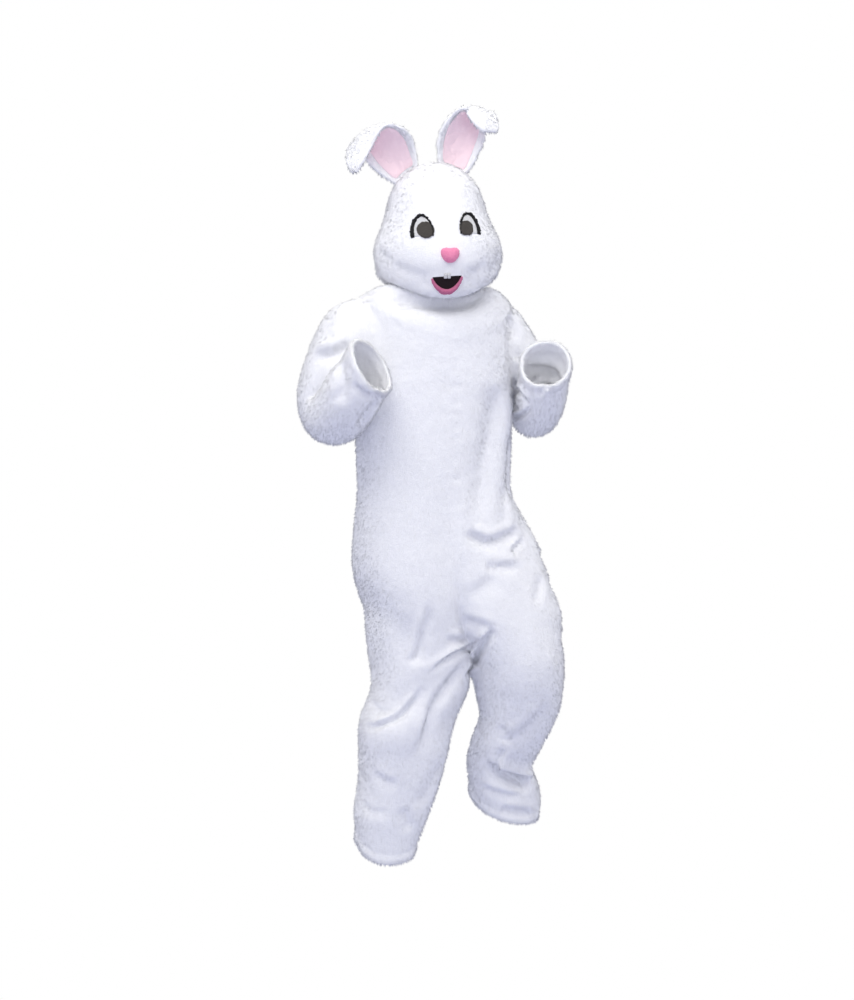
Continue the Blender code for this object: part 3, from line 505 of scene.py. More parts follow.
# %% [markdown]
# ## From walls to one skin
#
# The frame's panels are walls of loose triangles. To fold the cloth as one surface, so that a
# crease can run over a seam, each wall's outer sheet is taken off, all the sheets are welded along
# their seams, and the triangles are paired into quads again. Quads bend evenly under a subdivision
# surface; triangles would pucker. A wall's rim is easy to tell from its two sheets. At a seam it
# almost touches the next panel's rim. At a free edge, a line that goes straight in from it runs on
# inside the cloth, while one from a sheet comes out after the wall's thickness. Every face remembers
# its panel in its material number, which survives welding and subdividing.

# %% Outer sheets
WELD = 0.01 * MM  # corners of loose triangles this close are one point
SEAM_GAP = 0.6 * MM  # more than the gap between neighbouring panels
RIM_DEPTH = 2.3  # times the wall's thickness: a line from the rim stays in the cloth for longer
START_OFF = 0.05  # mm off its own face where a line starts
FAR = 1.0  # metres: a line that meets nothing before this runs free


def connected(items, neighbours):
    """The groups of items that hang together."""
    left = set(items)
    while left:
        group, waiting = set(), [left.pop()]
        while waiting:
            item = waiting.pop()
            group.add(item)
            for other in neighbours(item):
                if other in left:
                    left.discard(other)
                    waiting.append(other)
        yield group


def faces_beside(face):
    return [other for edge in face.edges for other in edge.link_faces]


def edges_beside(edge):
    return [other for vert in edge.verts for other in vert.link_edges]


def distance_along(tree, face, toward):
    """How far a line from the face's middle goes before it meets the tree's surface."""
    start = face.calc_center_median() + toward * START_OFF * MM
    return tree.ray_cast(start, toward, FAR)[3] or FAR


def merged_copy(node):
    shape = shape_of(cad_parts[node].data)
    bmesh.ops.remove_doubles(shape, verts=shape.verts, dist=WELD)
    return shape


def tree_of(nodes):
    """A search tree over several nodes together."""
    together = bmesh.new()
    for node in nodes:
        together.from_mesh(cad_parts[node].data)
    tree = BVHTree.FromBMesh(together)
    together.free()
    return tree


def outer_sheet(node, nodes):
    """The outward sheet of a wall, without its rim and its inner sheet."""
    shape = merged_copy(node)
    own = BVHTree.FromBMesh(shape)
    others = tree_of([other for other in nodes if other != node])
    depths = {face: distance_along(own, face, -face.normal) for face in shape.faces}
    limit = RIM_DEPTH * sorted(depths.values())[len(depths) // 2]
    rim = [
        face
        for face, depth in depths.items()
        if depth > limit or others.find_nearest(face.calc_center_median())[3] < SEAM_GAP
    ]
    bmesh.ops.delete(shape, geom=rim, context="FACES")
    sheets = sorted(connected(shape.faces, faces_beside), key=len)[-2:]

    def openness(sheet):
        """An outer sheet looks away from the hollow, so fewer lines from it meet cloth again."""
        ways = [min(distance_along(tree, face, face.normal) for tree in (own, others)) for face in sheet]
        return np.mean([way == FAR for way in ways])

    keep = max(sheets, key=openness)
    bmesh.ops.delete(shape, geom=[face for face in shape.faces if face not in keep], context="FACES")
    return shape


# %% [markdown]
# ## Welding the sheets
#
# Two sewn panels share one line of stitches, so no gap shows between them. Here the points of
# neighbouring sheets are merged where they nearly touch, and small holes are filled. A voxel remesh
# would close the gaps too, but it would forget which panel a face belongs to, and the seams would be
# lost with that.

# %% One skin
QUAD_BEND, QUAD_SHAPE = 75 * DEG, 100 * DEG  # how far two triangles may bend and skew to be one quad


def pair_triangles(shape, bend):
    bmesh.ops.join_triangles(
        shape, faces=shape.faces, angle_face_threshold=bend, angle_shape_threshold=QUAD_SHAPE
    )


def welded_skin(nodes):
    """One surface over several walls; each face's material number is its node's place in the list."""
    skin = bmesh.new()
    for number, node in enumerate(nodes):
        sheet = outer_sheet(node, nodes)
        for face in sheet.faces:
            face.material_index = number
        mesh = bpy.data.meshes.new("sheet")
        sheet.to_mesh(mesh)
        sheet.free()
        skin.from_mesh(mesh)
        bpy.data.meshes.remove(mesh)
    bmesh.ops.remove_doubles(skin, verts=skin.verts, dist=SEAM_GAP)
    bmesh.ops.holes_fill(skin, edges=skin.edges, sides=6)
    pair_triangles(skin, QUAD_BEND)
    bmesh.ops.recalc_face_normals(skin, faces=skin.faces)
    return skin


def borders(shape):
    """The number of edges of each open border, longest first."""
    rims = connected([edge for edge in shape.edges if edge.is_boundary], edges_beside)
    return sorted((len(rim) for rim in rims), reverse=True)


SUIT = ["front_right", "front_left", "back_right", "back_left", "sleeve_right", "sleeve_left"]
suit_cage = welded_skin(SUIT)
print("suit:", len(suit_cage.faces), "faces,", sum(len(f.verts) == 4 for f in suit_cage.faces), "quads")
print("open borders of the suit, in edges:", borders(suit_cage))

# %% [markdown]
# ## Easing the corners
#
# A pattern's corners show as hard turns in the welded cage. Laplacian smoothing pulls each point
# towards its neighbours, and a swell after each pull gives back the size, which is Taubin's trick.
# That runs over the whole suit. Over the lifted knee and round the armholes the pull runs again
# without the swell, because plush over a bent limb makes one round form.

# %% Ease
KNEE_INNER, KNEE_LOW, KNEE_HIGH = 0.05, -1.06, -0.80  # metres across and up
UPRIGHT = 0.6  # the share of an edge's length by which it must rise
ARMHOLE_REACH = 55 * MM


def eased(shape, rounds, ease=0.5, swell=-0.53, chosen=None):
    """Softens corners along the chosen edges; a swell after each ease keeps the size."""
    shape.verts.index_update()
    points = np.array([vert.co[:] for vert in shape.verts])
    edges = [edge for edge in shape.edges if chosen is None or chosen(edge)]
    first, second = np.array([[vert.index for vert in edge.verts] for edge in edges]).T
    count = np.bincount(first, minlength=len(points)) + np.bincount(second, minlength=len(points))
    free = np.array([not vert.is_boundary for vert in shape.verts]) & (count > 1)
    for strength in [ease, swell] * rounds:
        total = np.zeros_like(points)
        np.add.at(total, first, points[second])
        np.add.at(total, second, points[first])
        points[free] += strength * (total[free] / count[free, None] - points[free])
    for vert, place in zip(shape.verts, points):
        vert.co = place


def on_left_knee(edge):
    """Edges that run up and down over the lifted knee."""
    first, second = (vert.co for vert in edge.verts)
    upright = abs(first.z - second.z) > UPRIGHT * edge.calc_length()
    return upright and min(first.x, second.x) > KNEE_INNER and KNEE_LOW < first.z < KNEE_HIGH


def round_the_armholes(shape, reach):
    """A chooser of the edges that lie near the two armhole seams."""
    sleeves = {SUIT.index("sleeve_right"), SUIT.index("sleeve_left")}
    seam = [
        vert.co.copy()
        for vert in shape.verts
        if len({face.material_index in sleeves for face in vert.link_faces}) > 1
    ]
    search = search_over(list(enumerate(seam)))
    return lambda edge: all(search.find(vert.co)[2] < reach for vert in edge.verts)


eased(suit_cage, rounds=3)
eased(suit_cage, rounds=8, swell=0, chosen=on_left_knee)
eased(suit_cage, rounds=3, swell=0, chosen=round_the_armholes(suit_cage, ARMHOLE_REACH))
heights = [vert.co.z for vert in suit_cage.verts]
print("the eased cage is", round(max(heights) - min(heights), 3), "m high")

# %% [markdown]
# ## Making the cage smooth
#
# Catmull-Clark subdivision rounds the coarse quads into cloth. Three levels bring a quad of 23 mm
# down to 3 mm, fine enough for a crease of a finger's width. A subdivided surface shrinks inside its
# cage, by 2 mm on a leg, so the cage is first pushed out by what each of its points would lose.

# %% Subdivide
LEVELS = 3


def smooth_copy(name, shape):
    """The cage subdivided, so that the smooth surface runs through the cage's own points."""
    cage = bpy.data.meshes.new(name)
    shape.to_mesh(cage)
    shape.free()
    for number in range(len(SUIT)):
        cage.materials.append(None)
    finer = ("SUBSURF", {"levels": LEVELS, "render_levels": LEVELS})
    wanted = points_of(cage)
    first = modified(cage, finer)
    put_points(cage, 2 * wanted - points_of(first)[: len(wanted)])
    made = modified(cage, finer)
    left = np.linalg.norm(points_of(made)[: len(wanted)] - wanted, axis=1).max()
    print(name, len(made.polygons), "faces, at most", round(left / MM, 2), "mm off the frame's points")
    return made


suit = smooth_copy("suit", suit_cage)

# %% [markdown]
# ## Creases
#
# Worn plush hangs in broad, soft troughs, and it folds sharply only where the body bends or where
# spare cloth piles up: at the hip of the lifted leg, down the thighs from the crotch, over the shin
# and at the hems. Each crease here is one drawn line. Its places are given in millimetres
# across and up, on an upright plane that faces the eye at some azimuth, and lines of sight carry
# them onto the cloth. A crease has a half width, a depth, a ridge heaped up on one side as a share
# of that depth, and a lean that pushes the ridge over the trough, as real folds hang.

# %% Lines on the cloth
CREASE_STEPS = 5  # drawn points between two given ones


def sight_lines(azimuth, places):
    """Start and direction of a line of sight through each place, given in millimetres."""
    eye, right, up = eye_axes(azimuth)
    for across, height in places:
        through = right * across * MM + up * height * MM
        yield eye, (through - eye).normalized()


def smooth_line(places):
    """A Catmull-Rom curve through the places."""
    known = np.array(places, float)
    padded = np.vstack([2 * known[0] - known[1], known, 2 * known[-1] - known[-2]])
    line = []
    for before, start, end, after in zip(padded, padded[1:], padded[2:], padded[3:]):
        for t in np.arange(CREASE_STEPS) / CREASE_STEPS:
            bend = (2 * before - 5 * start + 4 * end - after) * t**2
            twist = (3 * start - before - 3 * end + after) * t**3
            line.append(0.5 * (2 * start + (end - before) * t + bend + twist))
    return np.array(line + [known[-1]])


def line_on_cloth(tree, azimuth, places):
    """The places carried onto the surface; those that miss it are left out."""
    found = []
    for eye, toward in sight_lines(azimuth, smooth_line(places)):
        hit = tree.ray_cast(eye, toward)[0]
        if hit is not None:
            found.append(hit)
    return np.array(found)


# %% [markdown]
# ## How a crease moves cloth
#
# Cloth doesn't vanish where it folds in: what leaves the trough stands up beside it. So the points
# near a line sink by a bell curve that is steeper on one side, and a second bell curve raises a ridge
# there. A displacement map could do the same, but painting one by hand is slow, and it moves cloth
# only straight in or out, so no ridge could lean.

# %% How a crease moves cloth
TAPER = 0.28  # share of a crease's length over which each end fades
REACH = 3.2  # a crease ends this many half widths from its line
STEEP, GENTLE = 0.75, 1.25  # half widths of the trough's two sides; the ridge stands on the steep one
HEAP_AT, HEAP_WIDE = 1.45, 0.85  # where the ridge stands and its half width, in half widths


def beside_line(points, normals, line):
    """Each point's distance from the line, its side, how far along it lies, and the way across."""
    best = np.full(len(points), np.inf)
    side = np.zeros(len(points))
    share = np.zeros(len(points))
    slant = np.zeros((len(points), 3))
    for step, (start, end) in enumerate(zip(line, line[1:])):
        along = end - start
        length = np.linalg.norm(along)
        t = np.clip((points - start) @ along / length**2, 0, 1)
        apart = points - start - t[:, None] * along
        distance = np.linalg.norm(apart, axis=1)
        closer = distance < best
        left = np.cross(normals, along / length)
        best[closer] = distance[closer]
        side[closer] = (apart * left).sum(1)[closer]
        share[closer] = ((step + t) / (len(line) - 1))[closer]
        slant[closer] = left[closer]
    return best, np.sign(side), share, slant


def crease_shift(points, normals, line, width, depth, ridge, lean):
    """How far each point moves for one crease."""
    width, depth, lean = width * MM, depth * MM, lean * MM
    reach = REACH * width
    near = np.all((points > line.min(0) - reach) & (points < line.max(0) + reach), axis=1)
    rows = np.flatnonzero(near)
    facing = normals[rows]
    apart, side, share, slant = beside_line(points[rows], facing, line)
    toward = np.sign(ridge) if ridge else 1.0
    across = side * apart / width * toward
    fade = np.clip(np.minimum(share, 1 - share) / TAPER, 0, 1)
    fade = fade * fade * (3 - 2 * fade)
    trough = np.exp(-((across / np.where(across > 0, STEEP, GENTLE)) ** 2))
    heap = np.exp(-(((across - HEAP_AT) / HEAP_WIDE) ** 2))
    out = fade * (abs(ridge) * heap - trough) * depth
    over = fade * heap * lean * toward
    shift = np.zeros_like(points)
    shift[rows] = facing * out[:, None] - slant * over[:, None]
    return shift


def fold(mesh, creases):
    """Moves the mesh's points for every crease, and returns how far."""
    points, normals = points_of(mesh), normals_of(mesh)
    tree = surface_of(mesh)
    moved = np.zeros_like(points)
    for azimuth, rows in creases.items():
        for *settings, places in rows.values():
            line = line_on_cloth(tree, azimuth, places)
            if len(line) > 1:
                moved += crease_shift(points, normals, line, *settings)
    put_points(mesh, points + moved)
    return moved


# %% The suit's creases
CREASES = {
    # azimuth: name: half width, depth, ridge, lean, places across and up (all in mm)
    FRONT: {
        "under the chin": (
            26, 26, 0, 0,
            ((-165, 24), (-137, 4), (-95, -8), (-50, -18), (0, -24), (60, -20), (105, -6), (140, 10)),
        ),
        "thigh to crotch": (
            8, 12, 0.6, 3,
            ((-20, -955), (7, -928), (29, -910), (52, -897), (75, -887), (98, -870), (121, -853)),
        ),
        "thigh roll, lower edge": (
            9, 10, 0.6, 3,
            ((-187, -1083), (-156, -1083), (-125, -1072), (-94, -1057), (-71, -1033), (-52, -1010),
             (-33, -976)),
        ),
        "thigh roll, short crease": (
            10, 4, 0, 0, ((-172, -1014), (-160, -1026), (-144, -1043), (-122, -1045), (-104, -1036)),
        ),
        "inner thigh": (
            14, 15, -0.15, 0,
            ((75, -922), (52, -945), (29, -976), (6, -1007), (-10, -1035), (-21, -1075), (-36, -1120),
             (-58, -1165)),
        ),
        "hip drag": (12, 9, -0.4, 0, ((-17, -768), (-25, -822), (-40, -872), (-52, -910), (-71, -933))),
        "under the crotch": (11, 7, 0.4, 0, ((17, -868), (44, -870), (75, -866), (109, -855))),
        "crotch overlap": (
            10, 15, 0.5, 4, ((70, -968), (80, -940), (95, -908), (113, -876), (132, -852), (146, -840)),
        ),
        "crotch pinch": (13, 8, 0.4, 0, ((54, -812), (85, -822), (117, -833), (140, -846))),
        "chest trough": (
            34, 13, 0.4, 0,
            ((152, -225), (147, -265), (138, -325), (127, -382), (114, -452), (107, -530), (100, -600)),
        ),
        "chest side": (18, 5, 0.0, 0, ((165, -470), (168, -520), (170, -580), (176, -610))),
        "centre front": (34, 4, 0.3, 0, ((32, -445), (32, -532), (30, -625), (35, -708), (48, -795))),
        "hip pocket": (
            14, 15, 0.4, 4, ((78, -592), (90, -607), (122, -622), (152, -616), (185, -602), (205, -590)),
        ),
        "hip slit": (8, 8, 0.4, 2, ((184, -650), (192, -640), (205, -627), (216, -614))),
        "hip tuck": (12, 8, 0.5, 2, ((120, -680), (137, -685), (172, -684), (217, -685))),
        "hip side": (14, 6, 0.3, 0, ((262, -705), (256, -745), (244, -785))),
        "seat drape": (20, 5, 0.4, 0, ((82, -770), (102, -745), (130, -728), (165, -715))),
        "knee shade": (18, 5, 0.4, 0, ((158, -1075), (172, -1108), (170, -1130))),
        "shin fold": (
            17, 29, 0.55, 8,
            ((122, -1178), (146, -1187), (180, -1203), (207, -1214), (226, -1222), (238, -1226)),
        ),
        "shin fold, branch": (9, 9, 0.4, 2, ((167, -1139), (158, -1162), (150, -1182))),
        "shin drag": (18, 7, 0.4, 0, ((169, -1137), (205, -1105), (246, -1068), (277, -1018))),
        "heap under the fold": (12, 6, 0.5, 2, ((102, -1228), (138, -1245), (178, -1255), (218, -1260))),
        "hem tuck": (13, 8, 0.4, 2, ((158, -1286), (173, -1291), (215, -1297), (238, -1308))),
        "heel roll": (
            12, 4, 0, 0, ((-188, -1268), (-178, -1282), (-165, -1295), (-138, -1298), (-112, -1290)),
        ),
        "ankle drag": (16, 6, 0.4, 0, ((-82, -1282), (-75, -1315), (-62, -1345))),
        "ankle": (14, 5, 0.3, 0, ((-165, -1195), (-130, -1220), (-92, -1228))),
        "calf shade": (22, 7, 0.3, 0, ((25, -1150), (0, -1200), (-25, -1250), (-50, -1290))),
        "right armpit": (9, 8, 0.4, 0, ((-148, -278), (-158, -292), (-174, -312), (-190, -332))),
        "right armpit, second": (7, 6, 0.4, 0, ((-160, -246), (-150, -252), (-140, -250))),
        "right elbow hollow": (
            16, 15, 0.5, 2, ((-318, -168), (-285, -158), (-255, -153), (-230, -138), (-212, -124)),
        ),
        "right elbow drag": (18, 11, -0.4, 0, ((-245, -165), (-240, -200), (-240, -245), (-250, -285))),
        "right cuff fold": (10, 6, 0.5, 2, ((-220, -220), (-192, -245), (-162, -260), (-132, -262))),
        "right sleeve drag": (14, 6, 0.4, 0, ((-202, -350), (-185, -315), (-162, -282), (-132, -262))),
        "right shoulder": (22, 6, 0.3, 0, ((-240, -90), (-215, -60), (-185, -48))),
        "left cuff notch": (8, 7, 0.4, 0, ((270, -222), (265, -242), (252, -260))),
        "left forearm": (7, 7, 0.5, 2, ((182, -316), (210, -306), (238, -288))),
        "left crook": (8, 8, 0.4, 2, ((186, -210), (196, -232), (212, -256), (232, -282))),
        "left crook, second": (8, 7, 0.4, 2, ((180, -250), (192, -274), (206, -296))),
        "left shoulder": (20, 5, 0.3, 0, ((168, -62), (188, -92), (196, -125))),
    },
    # the sides and the back hang in the same soft troughs, and fold at the seat and the knees
    BACK: {
        "seat, right": (13, 10, 0.5, 2, ((40, -800), (75, -824), (115, -828), (160, -808))),
        "seat, left": (13, 12, 0.5, 2, ((-190, -792), (-150, -822), (-105, -834), (-60, -822))),
        "seat, second left": (11, 8, 0.4, 2, ((-205, -850), (-165, -872), (-120, -878))),
        "back trough, right": (
            28, 10, 0.3, 0, ((95, -210), (100, -300), (92, -400), (84, -500), (96, -600)),
        ),
        "back trough, left": (28, 10, 0.3, 0, ((-95, -190), (-104, -290), (-98, -400), (-88, -520))),
        "blouse, right": (16, 9, 0.5, 0, ((50, -590), (95, -612), (140, -610), (180, -590))),
        "blouse, left": (16, 9, 0.5, 0, ((-190, -600), (-150, -622), (-100, -624), (-60, -604))),
        "back of the right thigh": (11, 9, 0.5, 2, ((150, -900), (110, -935), (70, -950), (30, -940))),
        "back of the right knee": (9, 12, 0.6, 3, ((180, -1068), (140, -1092), (95, -1096), (55, -1078))),
        "back of the right knee, lower": (8, 8, 0.5, 2, ((165, -1115), (130, -1132), (90, -1130))),
        "right calf": (14, 6, 0.4, 0, ((60, -1150), (75, -1200), (100, -1250))),
        "right heel": (9, 9, -0.6, 3, ((175, -1295), (140, -1312), (105, -1310), (75, -1292))),
        "back of the left knee": (
            10, 14, 0.6, 4, ((-235, -1000), (-195, -1028), (-150, -1032), (-110, -1010)),
        ),
        "back of the left knee, lower": (9, 10, 0.5, 3, ((-225, -1055), (-185, -1076), (-140, -1072))),
        "left calf": (14, 7, 0.4, 0, ((-210, -1110), (-190, -1160), (-170, -1200))),
        "left heel": (9, 9, -0.6, 3, ((-245, -1238), (-210, -1256), (-170, -1250))),
        "back of the right sleeve": (14, 9, 0.4, 0, ((215, -150), (240, -190), (280, -215))),
        "right elbow": (12, 7, 0.4, 0, ((225, -250), (255, -270), (290, -268))),
        "back of the left sleeve": (13, 8, 0.4, 0, ((-205, -140), (-225, -180), (-255, -205))),
    },
    RIGHT_SIDE: {
        "right flank": (22, 9, 0.3, 0, ((30, -330), (38, -430), (30, -540), (18, -640))),
        "right hip": (14, 9, 0.4, 0, ((-115, -762), (-75, -792), (-35, -798), (0, -784))),
        "right thigh, outside": (12, 9, 0.5, 2, ((-105, -935), (-62, -966), (-22, -974), (15, -960))),
        "right knee, outside": (10, 8, 0.5, 2, ((-85, -1078), (-42, -1092), (0, -1090), (28, -1076))),
        "right sleeve, outside": (12, 9, 0.4, 0, ((-20, -130), (15, -175), (20, -225))),
        "right sleeve, crook": (10, 9, 0.5, 2, ((-75, -205), (-30, -215), (12, -240))),
    },
    LEFT_SIDE: {
        "left flank": (22, 9, 0.3, 0, ((-20, -340), (-30, -440), (-24, -540))),
        "left hip": (14, 11, 0.5, 3, ((-35, -666), (20, -682), (70, -676), (105, -658))),
        "left hip, lower": (13, 8, 0.4, 2, ((-45, -742), (10, -754), (60, -748), (100, -728))),
        "left thigh, outside": (13, 8, 0.4, 0, ((-62, -880), (-12, -897), (40, -902), (85, -885))),
        "left knee, outside": (11, 10, 0.6, 3, ((-35, -1024), (20, -1042), (70, -1042), (110, -1020))),
        "left shin, outside": (11, 11, 0.5, 4, ((50, -1228), (85, -1226), (115, -1215), (140, -1198))),
        "left sleeve, outside": (12, 8, 0.4, 0, ((15, -140), (-20, -180), (-25, -230))),
        "left sleeve, crook": (9, 8, 0.5, 2, ((70, -205), (30, -214), (-10, -236))),
    },
}
WAVES = (0.16, 7 * MM), (0.045, 1.6 * MM), (0.011, 0.8 * MM)  # sizes and heights of the unevenness
suit = uneven(suit, *WAVES)
shifts = fold(suit, CREASES)
count = sum(len(rows) for rows in CREASES.values())
print(count, "creases; the cloth moves by up to", round(np.abs(shifts).max() / MM, 1), "mm")

# %% [markdown]
# ## Seams
#
# A seam pulls plush down into a shallow groove, and its thread gathers the cloth beside it a little.
# The skin knows its seams: they run where faces of two panels meet. An open edge is turned in and
# stitched down, so it is fat, and the stitches sink into the pile a finger's width from it.

# %% Grooves
SEAM_DEPTH, SEAM_REACH = 0.35 * MM, 7 * MM
PUCKER, PUCKER_REACH, PUCKER_LONG = 1.4 * MM, 16 * MM, 19 * MM
HEM_PUFF, HEM_STITCH, HEM_WIDE = 2.2 * MM, 1.0 * MM, 24 * MM
PUFF_AT, PUFF_REACH = 0.4, 0.38  # of the hem's width
PUFF_VARIES = 0.5  # by up to this share of itself
STITCH_REACH = 4 * MM


def line_points(mesh, chosen):
    """The numbers of the points on the edges that are chosen."""
    shape = shape_of(mesh)
    found = {vert.index for edge in shape.edges if chosen(edge) for vert in edge.verts}
    shape.free()
    return sorted(found)


def between_panels(edge):
    return len({face.material_index for face in edge.link_faces}) > 1


def nearest_on(points, chosen):
    """Each point's nearest chosen one, and how far off it is."""
    search = search_over([(index, Vector(points[index])) for index in chosen])
    found = [search.find(Vector(place)) for place in points]
    return [place for place, _, _ in found], np.array([apart for _, _, apart in found])


def sew(mesh):
    """Presses the seams in, and gathers the cloth along them."""
    points, normals = points_of(mesh), normals_of(mesh)
    seams = line_points(mesh, between_panels)
    places, apart = nearest_on(points, seams)
    gathers = np.array([noise.noise(place / PUCKER_LONG) for place in places])
    groove = -SEAM_DEPTH * np.exp(-((apart / SEAM_REACH) ** 2))
    gather = PUCKER * gathers * np.exp(-((apart / PUCKER_REACH) ** 2))
    put_points(mesh, points + normals * (groove + gather)[:, None])
    return len(seams)


def open_edge_points(mesh):
    return line_points(mesh, lambda edge: edge.is_boundary)


def hem(mesh):
    """Fattens every open edge and sinks its line of stitches."""
    points, normals = points_of(mesh), normals_of(mesh)
    places, apart = nearest_on(points, open_edge_points(mesh))
    uneven_puff = np.array([1 + PUFF_VARIES * noise.noise(place / PUCKER_LONG) for place in places])
    out = (apart - HEM_WIDE * PUFF_AT) / (HEM_WIDE * PUFF_REACH)
    puff = HEM_PUFF * uneven_puff * np.exp(-(out**2))
    stitch = HEM_STITCH * np.exp(-(((apart - HEM_WIDE) / STITCH_REACH) ** 2))
    put_points(mesh, points + normals * (puff - stitch)[:, None])


print("seams of the suit run through", sew(suit), "points")
hem(suit)
suit_points = points_of(suit)
suit_edges = search_over([(index, Vector(suit_points[index])) for index in open_edge_points(suit)])


def from_open_edge(place):
    """How far a place is from the suit's nearest open edge."""
    return suit_edges.find(Vector(place))[2]


# %% [markdown]
# ## The pile
#
# Plush is a knitted backing with combed tufts about 8 mm long. Along every outline they make the soft,
# slightly ragged edge that tells plush from felt, so they are real here: small three-sided locks,
# strewn over the cloth by Geometry Nodes. Each one leans with the nap, which runs down the body, and
# strays a little. Hair curves would be finer, but a lock of four triangles gives the same edge at a
# hundredth of the cost, and it survives an export. Pile that is this dense shades as one surface, so
# every lock takes its normals from the cloth under it, throws no shadow and reflects no bounced light.
# Their white is lighter than the cloth's: painted light against the specks of shade between the locks.

# %% Locks of pile
LOCK_LONG, LOCK_WIDE = 8 * MM, 3.2 * MM
LOCK_OUT = 0.35  # the share of its length by which a lock's middle stands off the cloth
LOCK_SIZES = 0.65, 1.2  # smallest and largest scale
NAP = (0, 0, -1.0)  # added to the normal: how strongly the pile lies down the body
STRAY = 0.45
PILE_DENSITY = 27000  # locks per square metre
UNDER = 3.5 * MM  # cloth this near a piece that lies on it is bare
FRINGE_WIDE, FRINGE_DENSITY = 9 * MM, 90000


def lock_object():
    """One lock: a thin spike that stands up z."""
    shape = bmesh.new()
    bmesh.ops.create_cone(
        shape, segments=3, radius1=LOCK_WIDE / 2, radius2=0, depth=LOCK_LONG, cap_ends=True
    )
    bmesh.ops.remove_doubles(shape, verts=shape.verts, dist=WELD)
    bmesh.ops.translate(shape, verts=shape.verts, vec=(0, 0, LOCK_LONG * LOCK_OUT))
    made = bpy.data.objects.new("lock", mesh_of("lock", shape))
    # the locks' lighter white is painted light against the specks of shade between them
    made.data.materials.append(finish["white_plush_tips"])
    return made


def in_use(sockets, name):
    """A node has a socket of this name for each kind of value; one of them is in use."""
    return next(socket for socket in sockets if socket.name == name and socket.enabled)


def random_between(tree, kind, low, high):
    made = tree.nodes.new("FunctionNodeRandomValue")
    made.data_type = kind
    in_use(made.inputs, "Min").default_value = low
    in_use(made.inputs, "Max").default_value = high
    return in_use(made.outputs, "Value")


def added(tree, first, second):
    made = tree.nodes.new("ShaderNodeVectorMath")
    made.operation = "ADD"
    tree.links.new(first, made.inputs[0])
    if isinstance(second, tuple):
        made.inputs[1].default_value = second
    else:
        tree.links.new(second, made.inputs[1])
    return made.outputs["Vector"]


# %% [markdown]
# ## Strewing the locks
#
# Geometry Nodes scatter points over the cloth and put a lock on each. The direction of a lock is a sum
# of three arrows: straight out from the cloth, down with the nap, and a random one for the stray. The
# cloth's normal is stored on every point, because it is wanted again once the locks are real.

# %% Strewing the locks
STREWN_SOCKETS = {  # name: way and kind
    "Cloth": ("INPUT", "NodeSocketGeometry"),
    "Density": ("INPUT", "NodeSocketFloat"),
    "Locks": ("OUTPUT", "NodeSocketGeometry"),
}


def strewn(lock):
    """Geometry nodes that strew the lock over a mesh and give back the locks alone."""
    tree = bpy.data.node_groups.new("strewn_locks", "GeometryNodeTree")
    for socket, (way, kind) in STREWN_SOCKETS.items():
        tree.interface.new_socket(socket, in_out=way, socket_type=kind)
    given, result = tree.nodes.new("NodeGroupInput"), tree.nodes.new("NodeGroupOutput")
    spread = tree.nodes.new("GeometryNodeDistributePointsOnFaces")
    marked = tree.nodes.new("GeometryNodeStoreNamedAttribute")
    placed = tree.nodes.new("GeometryNodeInstanceOnPoints")
    real = tree.nodes.new("GeometryNodeRealizeInstances")
    source = tree.nodes.new("GeometryNodeObjectInfo")
    set_inputs(source, {"Object": lock})
    marked.data_type = "FLOAT_VECTOR"
    marked.domain = "POINT"
    set_inputs(marked, {"Name": "cloth_normal"})
    turn = tree.nodes.new("FunctionNodeAlignRotationToVector")
    turn.axis = "Z"
    down = added(tree, spread.outputs["Normal"], NAP)
    lean = added(tree, down, random_between(tree, "FLOAT_VECTOR", (-STRAY,) * 3, (STRAY,) * 3))
    size = random_between(tree, "FLOAT", *LOCK_SIZES)
    join_nodes(
        tree,
        (given.outputs["Cloth"], spread.inputs["Mesh"]),
        (given.outputs["Density"], spread.inputs["Density"]),
        (spread.outputs["Points"], marked.inputs["Geometry"]),
        (spread.outputs["Normal"], in_use(marked.inputs, "Value")),
        (marked.outputs["Geometry"], placed.inputs["Points"]),
        (source.outputs["Geometry"], placed.inputs["Instance"]),
        (lean, turn.inputs["Vector"]),
        (turn.outputs["Rotation"], placed.inputs["Rotation"]),
        (size, placed.inputs["Scale"]),
        (placed.outputs["Instances"], real.inputs["Geometry"]),
        (real.outputs["Geometry"], result.inputs["Locks"]),
    )
    return tree


lock = lock_object()
STREWN = strewn(lock)
print("a lock has", len(lock.data.polygons), "faces")

# %% Growing pile on a sheet


def edging(mesh):
    """The faces along a sheet's open edges, with its rim, where combing drags the pile over."""
    shape = shape_of(mesh)
    inner = [face for face in shape.faces if from_open_edge(face.calc_center_median()) > FRINGE_WIDE]
    bmesh.ops.delete(shape, geom=inner, context="FACES")
    return mesh_of("edging", shape)


def bared(cloth, covers):
    """The cloth without the faces that lie under other pieces."""
    shape = shape_of(cloth)
    trees = [surface_of(cover) for cover in covers]
    hidden = [
        face
        for face in shape.faces
        if any(tree.find_nearest(face.calc_center_median(), UNDER)[0] for tree in trees)
    ]
    bmesh.ops.delete(shape, geom=hidden, context="FACES")
    return mesh_of("bared", shape)


def grow_pile(cloth, name, density):
    """Locks over one sheet, as a piece of their own."""
    holder = new_object(name, cloth)
    grow = holder.modifiers.new("pile", "NODES")
    grow.node_group = STREWN
    density_socket = next(s for s in STREWN.interface.items_tree if s.name == "Density")
    grow[density_socket.identifier] = float(density)
    locks = baked(holder)
    bpy.data.objects.remove(holder)
    normals = np.empty(len(locks.vertices) * 3)
    locks.attributes["cloth_normal"].data.foreach_get("vector", normals)
    locks.shade_smooth()
    locks.normals_split_custom_set_from_vertices(normals.reshape(-1, 3))
    locks.attributes.remove(locks.attributes["cloth_normal"])
    # the same lighter white, painted light against the locks' specks of shade
    pile = add_object(name, locks, finish["white_plush_tips"])
    pile.visible_shadow = False
    pile.visible_diffuse = False
    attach(pile, "costume")
    print(f"{name}: {len(locks.polygons)} faces")
    return pile


